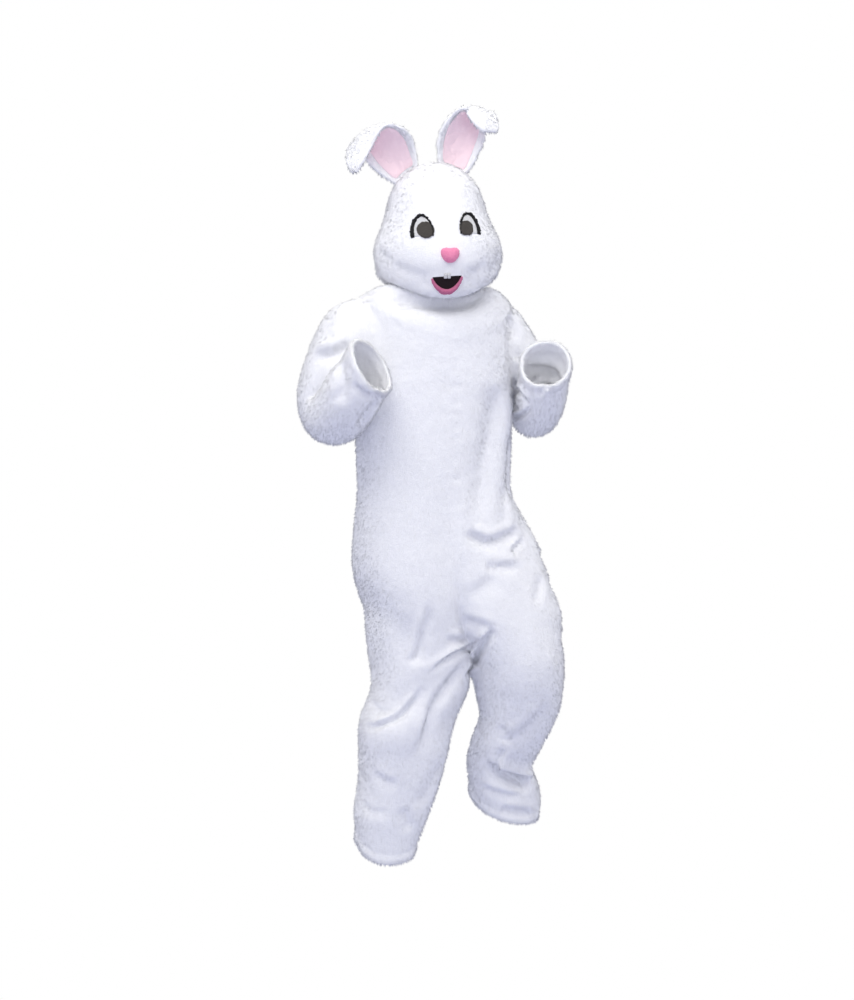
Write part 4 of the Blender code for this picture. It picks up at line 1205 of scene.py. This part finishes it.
# %% [markdown]
# ## Cutting the skin back into panels
#
# The skin is cut along its seams into the six pieces that a maker sews. Each gets its thickness
# inwards, so the outline stays where it was. The inner side shows only at the neck, the cuffs and the
# hems, so it is thinned afterwards, and the faces are spent on the outside.

# %% Panels
PLUSH_WALL = 5 * MM
OPEN_EDGE, EDGE_WIDE = 3 * MM, 16 * MM  # how much fatter a turned-in edge is, and how wide
CRISP = 50 * DEG  # a wall turns into its rim by more than this
INNER_SHARE = 0.60  # of all faces are left once the hidden side is thinned
SUIT_WEAR = {
    # node: the rectangle it is cut from and the cut's own area (m, m2), how it is held, and by what
    "front_right": ((0.40, 1.52), 0.43, "hung", ["front_left", "back_right"]),
    "front_left": ((0.41, 1.50), 0.41, "hung", ["front_right", "back_left"]),
    "back_right": ((0.38, 1.50), 0.41, "hung", ["back_left", "front_right"]),
    "back_left": ((0.39, 1.48), 0.39, "hung", ["back_right", "front_left"]),
    "sleeve_right": ((0.56, 0.50), 0.21, "hung", ["front_right", "back_right"]),
    "sleeve_left": ((0.50, 0.46), 0.17, "hung", ["front_left", "back_left"]),
}


def panel_mesh(skin, number, name):
    """The faces of one panel, as a mesh of their own."""
    shape = shape_of(skin)
    others = [face for face in shape.faces if face.material_index != number]
    bmesh.ops.delete(shape, geom=others, context="FACES")
    for face in shape.faces:
        face.material_index = 0
    return mesh_of(name, shape)


# %% [markdown]
# ## Walls
#
# An edge of cloth without thickness looks like paper, so every panel gets a wall with Solidify. A
# vertex group makes the wall fatter where the edge is turned in. The same modifier marks the inner
# side, and Decimate thins what is marked.

# %% Walls


def walled(made, thickness, share, edge=0.0):
    """Gives a sheet its thickness inwards, more of it along open edges, and thins the hidden side."""
    inside = made.vertex_groups.new(name="inside")
    thick = made.vertex_groups.new(name="thick")
    if edge:
        for index, place in enumerate(points_of(made.data)):
            apart = from_open_edge(place)
            thick.add([index], float(np.clip(1 - (apart - EDGE_WIDE) / EDGE_WIDE, 0, 1)), "REPLACE")
    wall = made.modifiers.new("wall", "SOLIDIFY")
    wall.thickness = thickness + edge
    if edge:
        wall.vertex_group = thick.name
        wall.thickness_vertex_group = thickness / (thickness + edge)
    wall.offset = -1
    wall.shell_vertex_group = inside.name
    thin = made.modifiers.new("thin", "DECIMATE")
    thin.ratio = share
    thin.vertex_group = inside.name
    mesh = baked(made)
    made.modifiers.clear()
    made.vertex_groups.clear()
    made.data = mesh
    keep_rims_crisp(mesh, edge)


def keep_rims_crisp(mesh, edge):
    """A seam's rim is hidden, so it must not darken the shading; an open edge stays round."""
    shape = shape_of(mesh)
    for line in shape.edges:
        if line.is_manifold and line.calc_face_angle() > CRISP:
            middle = (line.verts[0].co + line.verts[1].co) / 2
            line.smooth = bool(edge) and from_open_edge(middle) < 2 * EDGE_WIDE
    shape.to_mesh(mesh)
    shape.free()


# %% Six panels


def triangles(mesh):
    return sum(len(face.vertices) - 2 for face in mesh.polygons)


def settle(made, node, slot, body="costume"):
    """Puts a piece in its node's place."""
    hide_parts(node)
    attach(made, body)
    print(f"{made.name}: {triangles(made.data)} triangles")
    return made


def add_panel(skin, number, node, wall, wear, edge=0.0, covers=()):
    """One sewn piece: cut from the skin, given its pile and its wall, and put in its node's place."""
    flat, area, held, rests_on = wear
    panel = add_object("cut_" + node, panel_mesh(skin, number, "cut_" + node), finish["white_plush"])
    pile = grow_pile(bared(panel.data, covers), "pile_" + node, PILE_DENSITY)
    walled(panel, wall, INNER_SHARE, edge)
    settle(panel, node, "white_plush")
    if edge:
        grow_pile(edging(panel.data), "fringe_" + node, FRINGE_DENSITY)
    rests_on = ["cut_" + other for other in rests_on]
    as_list(rests_on)


under_zip = [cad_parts["zip_tape"].data]
for number, node in enumerate(SUIT):
    add_panel(suit, number, node, PLUSH_WALL, SUIT_WEAR[node], OPEN_EDGE, under_zip)

# %% [markdown]
# ## The head
#
# The head is a thin shell of foam with plush glued over it, turned and tilted a little to the
# wearer's right. It is sculpted like the suit, from the frame's two shells: soft swells make the
# cheeks and the muzzle, and two creases smile from the corners of the mouth. Its own frame, square to
# the face, makes the rest easy: x runs across the face and z up it.

# %% The head's form
HEAD_SHIFT, HEAD_TURN, HEAD_ROLL = 3 * MM, -11 * DEG, -2 * DEG
HEAD_FRAME = Matrix.Translation((HEAD_SHIFT, 0, 0)) @ Matrix.Rotation(HEAD_TURN, 4, "Z")
HEAD_FRAME @= Matrix.Rotation(HEAD_ROLL, 4, "Y")
HEAD_WALL = 9 * MM
HEAD = ["head_front", "head_back"]
HEAD_WAVES = (0.09, 3 * MM), (0.022, 1.2 * MM), (0.010, 0.6 * MM)
PEAR = ((192, 58, -0.055), (84, 28, 0.004))  # height, reach in mm, and the share that the width grows
FACE_DEPTH = 40 * MM  # swells fade out over the cheeks from here back
SWELLS = {
    # name: x, z, half width, half height, swell (all in mm)
    "right cheek": (-100, 78, 46, 42, 4.0),
    "left cheek": (100, 74, 46, 44, 5.0),
    "muzzle, right": (-34, 58, 34, 30, 4.5),
    "muzzle, left": (36, 58, 34, 30, 4.5),
    "under the right eye": (-62, 118, 34, 16, 1.5),
    "under the left eye": (62, 118, 34, 16, 1.5),
    "jaw, right": (-60, 6, 30, 14, -2.5),
    "jaw, left": (60, 6, 30, 14, -2.5),
}
HEAD_CREASES = {
    # as for the suit
    FRONT: {
        "smile, right": (17, 4.0, 0.3, 0, ((-118, 66), (-92, 58), (-62, 44), (-30, 36), (-8, 38))),
        "smile, left": (15, 3.5, 0.3, 0, ((66, 42), (88, 46), (108, 56), (126, 72))),
        "cheek fold": (15, 3.0, 0.4, 0, ((-150, 110), (-132, 88), (-108, 74))),
        "under the nose": (5, 1.4, 0.3, 0, ((27, 74), (25, 62), (23, 50))),
        "left jaw": (18, 3.5, 0.3, 0, ((156, 92), (146, 62), (122, 34))),
    },
    BACK: {
        "back of the head": (18, 2.5, 0.3, 0, ((-60, 210), (-20, 190), (40, 200))),
        "nape": (16, 4, 0.4, 0, ((-95, 60), (-40, 42), (30, 44), (90, 62))),
    },
    LEFT_SIDE: {
        "behind the left cheek": (18, 3, 0.3, 0, ((-30, 60), (10, 80), (30, 120))),
    },
    RIGHT_SIDE: {
        "behind the right cheek": (18, 3, 0.3, 0, ((30, 58), (-8, 82), (-24, 124))),
    },
}
print(len(SWELLS), "swells for the head")

# %% Shaping the head


def through(matrix, points):
    """The points after a matrix."""
    rows = np.array(matrix)
    return points @ rows[:3, :3].T + rows[:3, 3]


def in_head(points):
    """World places in the head's own frame."""
    return through(HEAD_FRAME.inverted(), points)


def made_pear_shaped(mesh):
    """Draws the temples in and the cheeks out."""
    own = in_head(points_of(mesh))
    for height, reach, share in PEAR:
        own[:, 0] *= 1 + share * np.exp(-(((own[:, 2] / MM - height) / reach) ** 2))
    put_points(mesh, through(HEAD_FRAME, own))


def swell(mesh, rows):
    """Raises soft round swells on the face."""
    points, normals = points_of(mesh), normals_of(mesh)
    own = in_head(points)
    height = np.zeros(len(points))
    for x, z, wide, high, rise in rows:
        gain = np.exp(-(((own[:, 0] / MM - x) / wide) ** 2) - ((own[:, 2] / MM - z) / high) ** 2)
        height += gain * np.clip(-own[:, 1] / FACE_DEPTH, 0, 1) * rise * MM
    put_points(mesh, points + normals * height[:, None])


head = smooth_copy("head", welded_skin(HEAD))
made_pear_shaped(head)
swell(head, SWELLS.values())
head = uneven(head, *HEAD_WAVES)
fold(head, HEAD_CREASES)
sew(head)
face_surface = surface_of(head)
head_size = np.ptp(in_head(points_of(head)), axis=0)
print("the head is", [round(v / MM) for v in head_size], "mm across its own frame")

# %% [markdown]
# ## Face pieces
#
# Eyes, lashes, nose and mouth are cut from felt and mesh and sewn on. Each is drawn flat, as rows of
# points between two curves in the face's own frame, and then carried straight back onto the head, so
# it hugs the foam. A piece is highest in its middle and goes down into the pile at its edge, as
# padded felt does. Nobody cuts felt with a compass, so the curves waver a little.

# %% Curves for felt


def arch(middle, half, start, end, count):
    """Part of an ellipse; middle and half sizes in mm, turns in degrees."""
    (x, z), (wide, high) = middle, half
    turns = np.linspace(start, end, count) * DEG
    return np.array([(x + wide * math.cos(turn), z + high * math.sin(turn)) for turn in turns])


def rows_between(first, second, rows):
    share = np.linspace(0, 1, rows)[:, None, None]
    return first + (second - first) * share


def wavering(curve, size, long, seed):
    """A curve that wavers, as hand-cut felt does: size and length of a waver in mm."""
    moved = [
        (
            x + size * noise.noise(Vector((x / long, z / long, seed))),
            z + size * noise.noise(Vector((x / long, z / long, seed + 7.7))),
        )
        for x, z in curve
    ]
    return np.array(moved)


# %% Laying felt on the face
SINK = 1.2 * MM  # the edge of a piece goes this far into the pile
FACE_FAR = 0.4  # metres before the head's middle: lines to the face start here
FELT_SLOTS = {"mouth_mesh": "dark_mesh"}  # the mouth's mesh is a darker shade of the eyes'
face_cloth = []  # the meshes that lie on the head


def from_edge(grid):
    """How far each point of a grid is from its edge, in mm."""
    rim = np.concatenate([grid[0], grid[-1], grid[:, 0], grid[:, -1]])
    return np.linalg.norm(grid[:, :, None] - rim, axis=3).min(axis=2)


def padding(grid, thick, edge):
    """Heights of a padded piece in mm: round over its edge, level further in."""
    inward = np.clip(from_edge(grid) / edge, 0, 1)
    return thick * np.sqrt(1 - (1 - inward) ** 2)


def on_face(grid, heights):
    """A sheet over the face, from x and z in mm, and heights above the plush in mm."""
    tall, wide = heights.shape
    shape = bmesh.new()
    bmesh.ops.create_grid(shape, x_segments=wide - 1, y_segments=tall - 1, size=1)
    toward = (HEAD_FRAME.to_3x3() @ Vector((0, 1, 0))).normalized()
    for vert, (x, z), lift in zip(shape.verts, grid.reshape(-1, 2), heights.ravel()):
        start = HEAD_FRAME @ Vector((x * MM, -FACE_FAR, z * MM))
        place, normal = face_surface.ray_cast(start, toward)[:2]
        if place is None:
            place, normal = face_surface.find_nearest(start + toward * FACE_FAR)[:2]
        vert.co = place + normal * (lift * MM - SINK)
    bmesh.ops.recalc_face_normals(shape, faces=shape.faces)
    outward = sum((face.normal for face in shape.faces), Vector()).dot(toward)
    if outward > 0:
        bmesh.ops.reverse_faces(shape, faces=shape.faces)
    return shape


def add_felt(node, grid, heights, name):
    """A piece of felt, mesh or plush on the face, in its node's place."""
    made = add_object("felt_" + node, mesh_of("felt_" + node, on_face(grid, heights)), finish[name])
    face_cloth.append(made.data)
    return settle(made, node, FELT_SLOTS.get(name, name))


# %% [markdown]
# ## The eyes
#
# Each eye is three layers: an arch of white felt, a dark disc of mesh to see through, and a black band
# over the arch with a ragged outer edge for lashes. A painted eye would look right from the front
# only. Layers have edges that catch the light from every side.

# %% Eyes
FELT, FELT_EDGE = 3.2, 3  # mm that felt rises, and the width over which it does
PUPIL_THICK = 1.8
EYES = {
    # side: middle x, foot z, half width, half height, pupil x, z and half sizes (mm)
    "right": (-58.0, 127, 27.0, 51.0, -50.5, 138.0, 20.5, 20.5),
    "left": (57.0, 131, 26.5, 50.0, 48.5, 140.0, 18.0, 19.5),
}
LASH = 10.5  # mm wide at the outer side
INNER_SHIFT = 1.5  # mm that the white and the lash sit nearer the nose than the eye's middle
WHITE_IN = 5.5  # mm from the eye's outline to the white's
WHITE_DROP, PUPIL_DROP = 5, 9  # mm that they reach below the eye's foot
PUPIL_SHARES, PUPIL_TOP = np.linspace(-1, 1, 25), 0.49 * math.pi
PUPIL_LOWEST = -0.97  # the lowest place of its trimmed foot, in half heights from its middle
PUPIL_WAVER, LASH_ROOT, LASH_TIPS = (1.6, 5), (1.8, 3.5), (3.4, 3.2)  # size and length in mm
LASH_THIN = 0.30  # the inner end's share of the width
LASH_COUNT = 81
LASH_REACH = {"left": np.linspace(0, 1, LASH_COUNT), "right": np.linspace(1, 0, LASH_COUNT)}


def eye_white(x, foot, half_w, half_h):
    """A tall arch on a straight foot."""
    top = arch((x, foot), (half_w, half_h), 180, 0, 49)
    return rows_between(np.array([(across, foot - WHITE_DROP) for across, _ in top]), top, 20)


def eye_pupil(x, z, half_w, half_h, foot, seed):
    """A disc trimmed straight a little below the eye's foot, as rows from there to its top."""
    cut = math.asin(max(PUPIL_LOWEST, (foot - PUPIL_DROP - z) / half_h))
    rows = []
    for turn in np.linspace(cut, PUPIL_TOP, 26):
        across = half_w * math.cos(turn) * PUPIL_SHARES
        row = np.array([x, z]) + np.stack([across, half_h * math.sin(turn) + 0 * PUPIL_SHARES], axis=1)
        rows.append(wavering(row, *PUPIL_WAVER, seed))
    return np.array(rows)


def eye_lash(x, foot, half_w, half_h, side, reach):
    """A ragged band over the white's arch, wider as it reaches the outer side."""
    inner = arch((x, foot), (half_w - 1, half_h - 1), 187, -7, LASH_COUNT)
    widths = LASH * (LASH_THIN + (1 - LASH_THIN) * reach**0.7)
    away = (inner - (x, foot)) / (half_w, half_h)
    ragged = wavering(inner + away * widths[:, None], *LASH_TIPS, 5 * side)
    return rows_between(wavering(inner, *LASH_ROOT, 2 * side), ragged, 9)


for own, (x, foot, half_w, half_h, *disc) in EYES.items():
    side = 1 if own == "left" else -1
    x -= INNER_SHIFT * side
    inner = (x, foot, half_w - WHITE_IN, half_h - WHITE_IN)

    grid = eye_white(*inner)
    white = add_felt(f"eye_{own}_white", grid, padding(grid, FELT, FELT_EDGE), "white_felt")

    grid = eye_pupil(*disc, foot, 3 * side)
    pupil = add_felt(f"eye_{own}_pupil", grid, FELT + padding(grid, PUPIL_THICK, FELT_EDGE), "dark_mesh")

    grid = eye_lash(*inner, side, LASH_REACH[own])
    lash = add_felt(f"lash_{own}", grid, padding(grid, 2 * FELT, FELT_EDGE), "black_felt")

# %% [markdown]
# ## The nose
#
# A small cushion of pink plush with broad shoulders, a faint notch on top and a round foot. A squashed
# sphere would be quicker, but it has no shoulders, so the outline is drawn as two curves over one
# width, and the padding is thickest in the middle.

# %% Nose
NOSE_X, NOSE_TOP, NOSE_FOOT, NOSE_HALF = 3.0, 93.0, 56.0, 23.0
NOSE_HIGH, NOSE_EDGE = 14.0, 15
SHOULDER_FROM, SHOULDER_DROP = 0.50, 0.34  # shares of the half width and of the height
NOTCH_WIDE, NOTCH_DEEP = 0.20, 0.015
FOOT_START = 0.38  # the share of the height at which the round foot starts
NOSE_WAVER = 1.2, 5  # size and length in mm

shares = np.linspace(-1, 1, 45)
past = np.clip((np.abs(shares) - SHOULDER_FROM) / (1 - SHOULDER_FROM), 0, 1)
shoulder = 1 - np.sqrt(1 - past**2)
notch = np.exp(-((shares / NOTCH_WIDE) ** 2))
belly = (1 - np.abs(shares) ** 2.4) ** 0.8
tall = NOSE_TOP - NOSE_FOOT
xs = NOSE_X + NOSE_HALF * shares
brow = np.stack([xs, NOSE_TOP - tall * (SHOULDER_DROP * shoulder + NOTCH_DEEP * notch)], axis=1)
chin = np.stack([xs, NOSE_TOP - tall * (FOOT_START + (1 - FOOT_START) * belly)], axis=1)
grid = rows_between(wavering(chin, *NOSE_WAVER, 3), wavering(brow, *NOSE_WAVER, 4), 30)
nose = add_felt("nose", grid, padding(grid, NOSE_HIGH, NOSE_EDGE), "nose_pink")

# %% [markdown]
# ## The mouth
#
# The mouth is an open smile of dark mesh, with a padded lip of rose felt under it that thins towards
# either corner. One function draws the curves of both. It is an ellipse whose depth is raised to a
# power, and the power bends it from a round bowl towards a wedge.

# %% Mouth and lip
MOUTH_X, MOUTH_TOP, MOUTH_FOOT, MOUTH_HALF = -4.5, 23.0, -5.0, 34.0
MOUTH_LIFT = 1.4  # mm above the sunk edge
MOUTH_POWER, LIP_POWER = 1.7, 1.25
LIP_TIP, LIP_FOOT, LIP_HIGH, LIP_EDGE = 38.5, -18.0, 8.0, 7
LIP_WAVER = 1.2, 6
MOUTH_TILT = 0.035  # the wearer's left corner is the higher one


def tilted(curve):
    """The mouth's curve with its left corner raised."""
    curve = np.array(curve, float)
    return np.stack([curve[:, 0], curve[:, 1] + (curve[:, 0] - MOUTH_X) * MOUTH_TILT], axis=1)


def spaced(curve, count):
    """The curve with its points at even distances."""
    curve = np.array(curve, float)
    along = np.concatenate([[0], np.cumsum(np.linalg.norm(np.diff(curve, axis=0), axis=1))])
    wanted = np.linspace(0, along[-1], count)
    return np.stack([np.interp(wanted, along, curve[:, axis]) for axis in (0, 1)], axis=1)


def smile(half, foot, power, start, end, count):
    """A curve like the lower lip; the power makes it run from a bowl to a wedge."""
    turns = np.linspace(start, end, count) * DEG
    drop = np.abs(np.sin(turns)) ** power * (MOUTH_TOP - foot)
    return [(MOUTH_X + half * math.cos(t), MOUTH_TOP - d) for t, d in zip(turns, drop)]


bowl = tilted(smile(MOUTH_HALF + 1, MOUTH_FOOT - 1, MOUTH_POWER, 180, 360, 61))
top = tilted([(x, MOUTH_TOP + 2) for x, _ in bowl])
grid = rows_between(bowl, top, 16)
mouth = add_felt("mouth", grid, MOUTH_LIFT + 0 * grid[:, :, 0], "mouth_mesh")

near = spaced(tilted(smile(MOUTH_HALF, MOUTH_FOOT, MOUTH_POWER, 181, 359, 61)), 91)
far = spaced(tilted(smile(LIP_TIP, LIP_FOOT, LIP_POWER, 180, 360, 61)), 91)
grid = rows_between(wavering(far, *LIP_WAVER, 8), near, 13)
lip = add_felt("lip", grid, padding(grid, LIP_HIGH, LIP_EDGE), "rose_felt")

# %% [markdown]
# ## Two teeth
#
# Two tabs of white felt hang over the top of the mouth. They are tiny, yet they make the face a
# rabbit's, so each is padded and has rounded corners instead of being painted on.

# %% Teeth
TOOTH_W, TOOTH_H, TOOTH_RISE = 8.5, 12.0, 8.5
TOOTH_GAP, TOOTH_LIFT, TOOTH_THICK, TOOTH_EDGE = 0.2, 2.4, 2.6, 2
CORNER = 1.6  # mm that the foot's corners are rounded off
TOOTH_POINTS = 13  # across a tooth

for own, side in (("right", -1), ("left", 1)):
    xs = np.linspace(TOOTH_GAP, TOOTH_W, TOOTH_POINTS) * side + MOUTH_X
    round_off = CORNER * np.abs(np.linspace(-1, 1, TOOTH_POINTS)) ** 4
    top = np.stack([xs, np.full(TOOTH_POINTS, MOUTH_TOP + TOOTH_RISE)], axis=1)
    foot = np.stack([xs, MOUTH_TOP + TOOTH_RISE - TOOTH_H + round_off], axis=1)
    grid = rows_between(foot, top, 12)
    heights = TOOTH_LIFT + padding(grid, TOOTH_THICK, TOOTH_EDGE)
    tooth = add_felt(f"tooth_{own}", grid, heights, "white_felt")

# %% [markdown]
# ## The head's two shells
#
# Now that the face is on, the head is cut at its seam as the suit was. The plush is clipped bare where
# felt lies on it, because a maker shaves it there so that the glue holds.

# %% Shells of the head
HEAD_WEAR = {
    "head_front": ((0.46, 0.46), 0.155, "stretched", ["head_back"]),
    "head_back": ((0.44, 0.44), 0.140, "stretched", ["head_front"]),
}
for number, node in enumerate(HEAD):
    add_panel(head, number, node, HEAD_WALL, HEAD_WEAR[node], covers=face_cloth)

# %% [markdown]
# ## The ears
#
# Each ear is a padded leaf that rises, bends and flops: plush at the back and round the rim, and a
# pink lining sunk between the rim's rolls. Smoothing the frame's leaf rounds its edge by itself. The
# rim is then rolled up wherever it is bare, and the lining gets a few slack folds, because satin has
# no pile to hide them.

# %% Ears
RIM_RISE, RIM_WIDE = 2.25 * MM, 13 * MM
RIM_FROM, RIM_UNDER = 1.5 * MM, -4 * MM  # how far from the lining it starts, and how far behind it
EAR_PILE = 60000  # locks per square metre: dense, because an ear is seen against the paper
EAR_BEND = 60 * DEG  # how far two of the leaf's triangles may bend to be one quad
LINING_WAVES = (0.045, 9.0 * MM), (0.016, 2.0 * MM)
BACK_WAVES = (0.05, 2.5 * MM), (0.010, 0.8 * MM)
EAR_WEAR = {
    # side: back's flat rectangle and cut area, then the lining's (m, m2)
    "right": (((0.125, 0.290), 0.029), ((0.095, 0.190), 0.014)),
    "left": (((0.115, 0.280), 0.026), ((0.090, 0.180), 0.013)),
}


def smooth_node(node):
    """A node's solid as a smooth mesh of quads."""
    shape = merged_copy(node)
    pair_triangles(shape, EAR_BEND)
    return smooth_copy(node, shape)


def roll_rim(mesh, lining):
    """Raises the bare rim of the ear's hollow side into a soft roll."""
    points, normals = points_of(mesh), normals_of(mesh)
    heights = np.zeros(len(points))
    for index, (place, normal) in enumerate(zip(points, normals)):
        found, facing, _, apart = lining.find_nearest(Vector(place))
        away = Vector(place) - found
        if Vector(normal).dot(facing) > 0 or away.dot(facing) > RIM_UNDER:
            heights[index] = RIM_RISE * min(1.0, max(0.0, apart - RIM_FROM) / RIM_WIDE) ** 0.5
    put_points(mesh, points + normals * heights[:, None])


for own, ((back_flat, back_area), (lining_flat, lining_area)) in EAR_WEAR.items():
    lining_mesh = uneven(smooth_node(f"ear_{own}_lining"), *LINING_WAVES)
    back_mesh = smooth_node(f"ear_{own}_back")
    roll_rim(back_mesh, surface_of(lining_mesh))
    back_mesh = uneven(back_mesh, *BACK_WAVES)
    back_mesh.shade_smooth()
    lining_mesh.shade_smooth()
    # the ear's back takes the lighter white too: painted light that lifts the shade on its rim
    back = add_object(f"ear_{own}", back_mesh, finish["white_plush_tips"])
    settle(back, f"ear_{own}_back", "white_plush")
    pile = grow_pile(bared(back_mesh, [lining_mesh]), f"pile_ear_{own}", EAR_PILE)
    lining = add_object(f"lining_{own}", lining_mesh, finish["pink_satin"])
    settle(lining, f"ear_{own}_lining", "pink_satin")

# %% [markdown]
# ## The zip
#
# The zip runs down the middle of the back. Its tape is woven, and the coil's teeth meet in pairs along
# its middle. The slider and its tab are cast metal with edges that years of fingers have rounded, so
# each is made again with a small bevel. The tab's own body carries it, because it swings.

# %% Zip
TAPE_WAVES = (0.03, 0.8 * MM)
ZIP_PITCH, ZIP_TOOTH = 3.2 * MM, (3.4 * MM, 1.3 * MM, 1.7 * MM)
ZIP_STAGGER = 1.1 * MM
ZIP_OUT = 0.3  # the share of a tooth's thickness by which its middle stands off the tape
TAPE_END = 4 * MM  # bare at either end
FLAT, WORN_SHARP = 2 * DEG, 35 * DEG  # edges under the first aren't edges; over the second stay sharp
WORN_EDGES = {"zip_slider": ("costume", 0.6 * MM), "zip_pull": ("zip_pull", 0.35 * MM)}  # body and bevel


def add_zip_tape():
    """The woven tape, a little uneven, because it is sewn onto plush."""
    shape = merged_copy("zip_tape")
    bmesh.ops.subdivide_edges(shape, edges=shape.edges, cuts=2, use_grid_fill=True)
    mesh = uneven(mesh_of("woven_tape", shape), TAPE_WAVES)
    mesh.set_sharp_from_angle(angle=CRISP)
    tape = settle(add_object("woven_tape", mesh, finish["zip_tape"]), "zip_tape", "zip_tape")
    return tape


def bevelled(node, body, width):
    """A hard piece made again with rounded edges."""
    shape = merged_copy(node)
    bmesh.ops.dissolve_limit(shape, angle_limit=FLAT, verts=shape.verts, edges=shape.edges)
    bmesh.ops.bevel(
        shape, geom=shape.edges, offset=width, segments=2, profile=0.5, affect="EDGES", material=-1
    )
    mesh = mesh_of(node, shape)
    mesh.set_sharp_from_angle(angle=WORN_SHARP)
    settle(add_object("worn_" + node, mesh, finish["zip_metal"]), node, "zip_metal", body)


def add_zip_teeth(tape):
    """Two rows of teeth that cross over the middle of the tape, as one mesh."""
    surface = surface_of(tape.data)
    heights = points_of(tape.data)[:, 2]
    low, high = heights.min() + TAPE_END, heights.max() - TAPE_END
    shape = bmesh.new()
    for number, height in enumerate(np.arange(low, high, ZIP_PITCH / 2)):
        hit, normal = surface.ray_cast(Vector((0, 1, height)), Vector((0, -1, 0)))[:2]
        if hit is None:
            continue
        side = ZIP_STAGGER if number % 2 else -ZIP_STAGGER
        turn = Matrix.Rotation(math.atan2(normal.z, normal.y), 4, "X")
        out = normal * ZIP_TOOTH[1] * ZIP_OUT
        place = Matrix.Translation(hit + out + Vector((side, 0, 0))) @ turn
        bmesh.ops.create_cube(shape, size=1, matrix=place @ Matrix.Diagonal((*ZIP_TOOTH, 1)))
    teeth = add_object("zip_teeth", mesh_of("zip_teeth", shape), finish["zip_metal"])
    teeth.data.shade_flat()
    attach(teeth, "costume")
    print("zip teeth:", len(teeth.data.polygons) // 6)


add_zip_teeth(add_zip_tape())
for node, (body, width) in WORN_EDGES.items():
    bevelled(node, body, width)

# %% [markdown]
# ## The finished size
#
# The box of the dressed costume is written beside the frame's own, so the two can be compared. They
# should differ by little more than the pile.

# %% Finish
visual_box = [list(corner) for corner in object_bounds()]
print("the finished box in metres:", [[round(v, 3) for v in corner] for corner in visual_box])
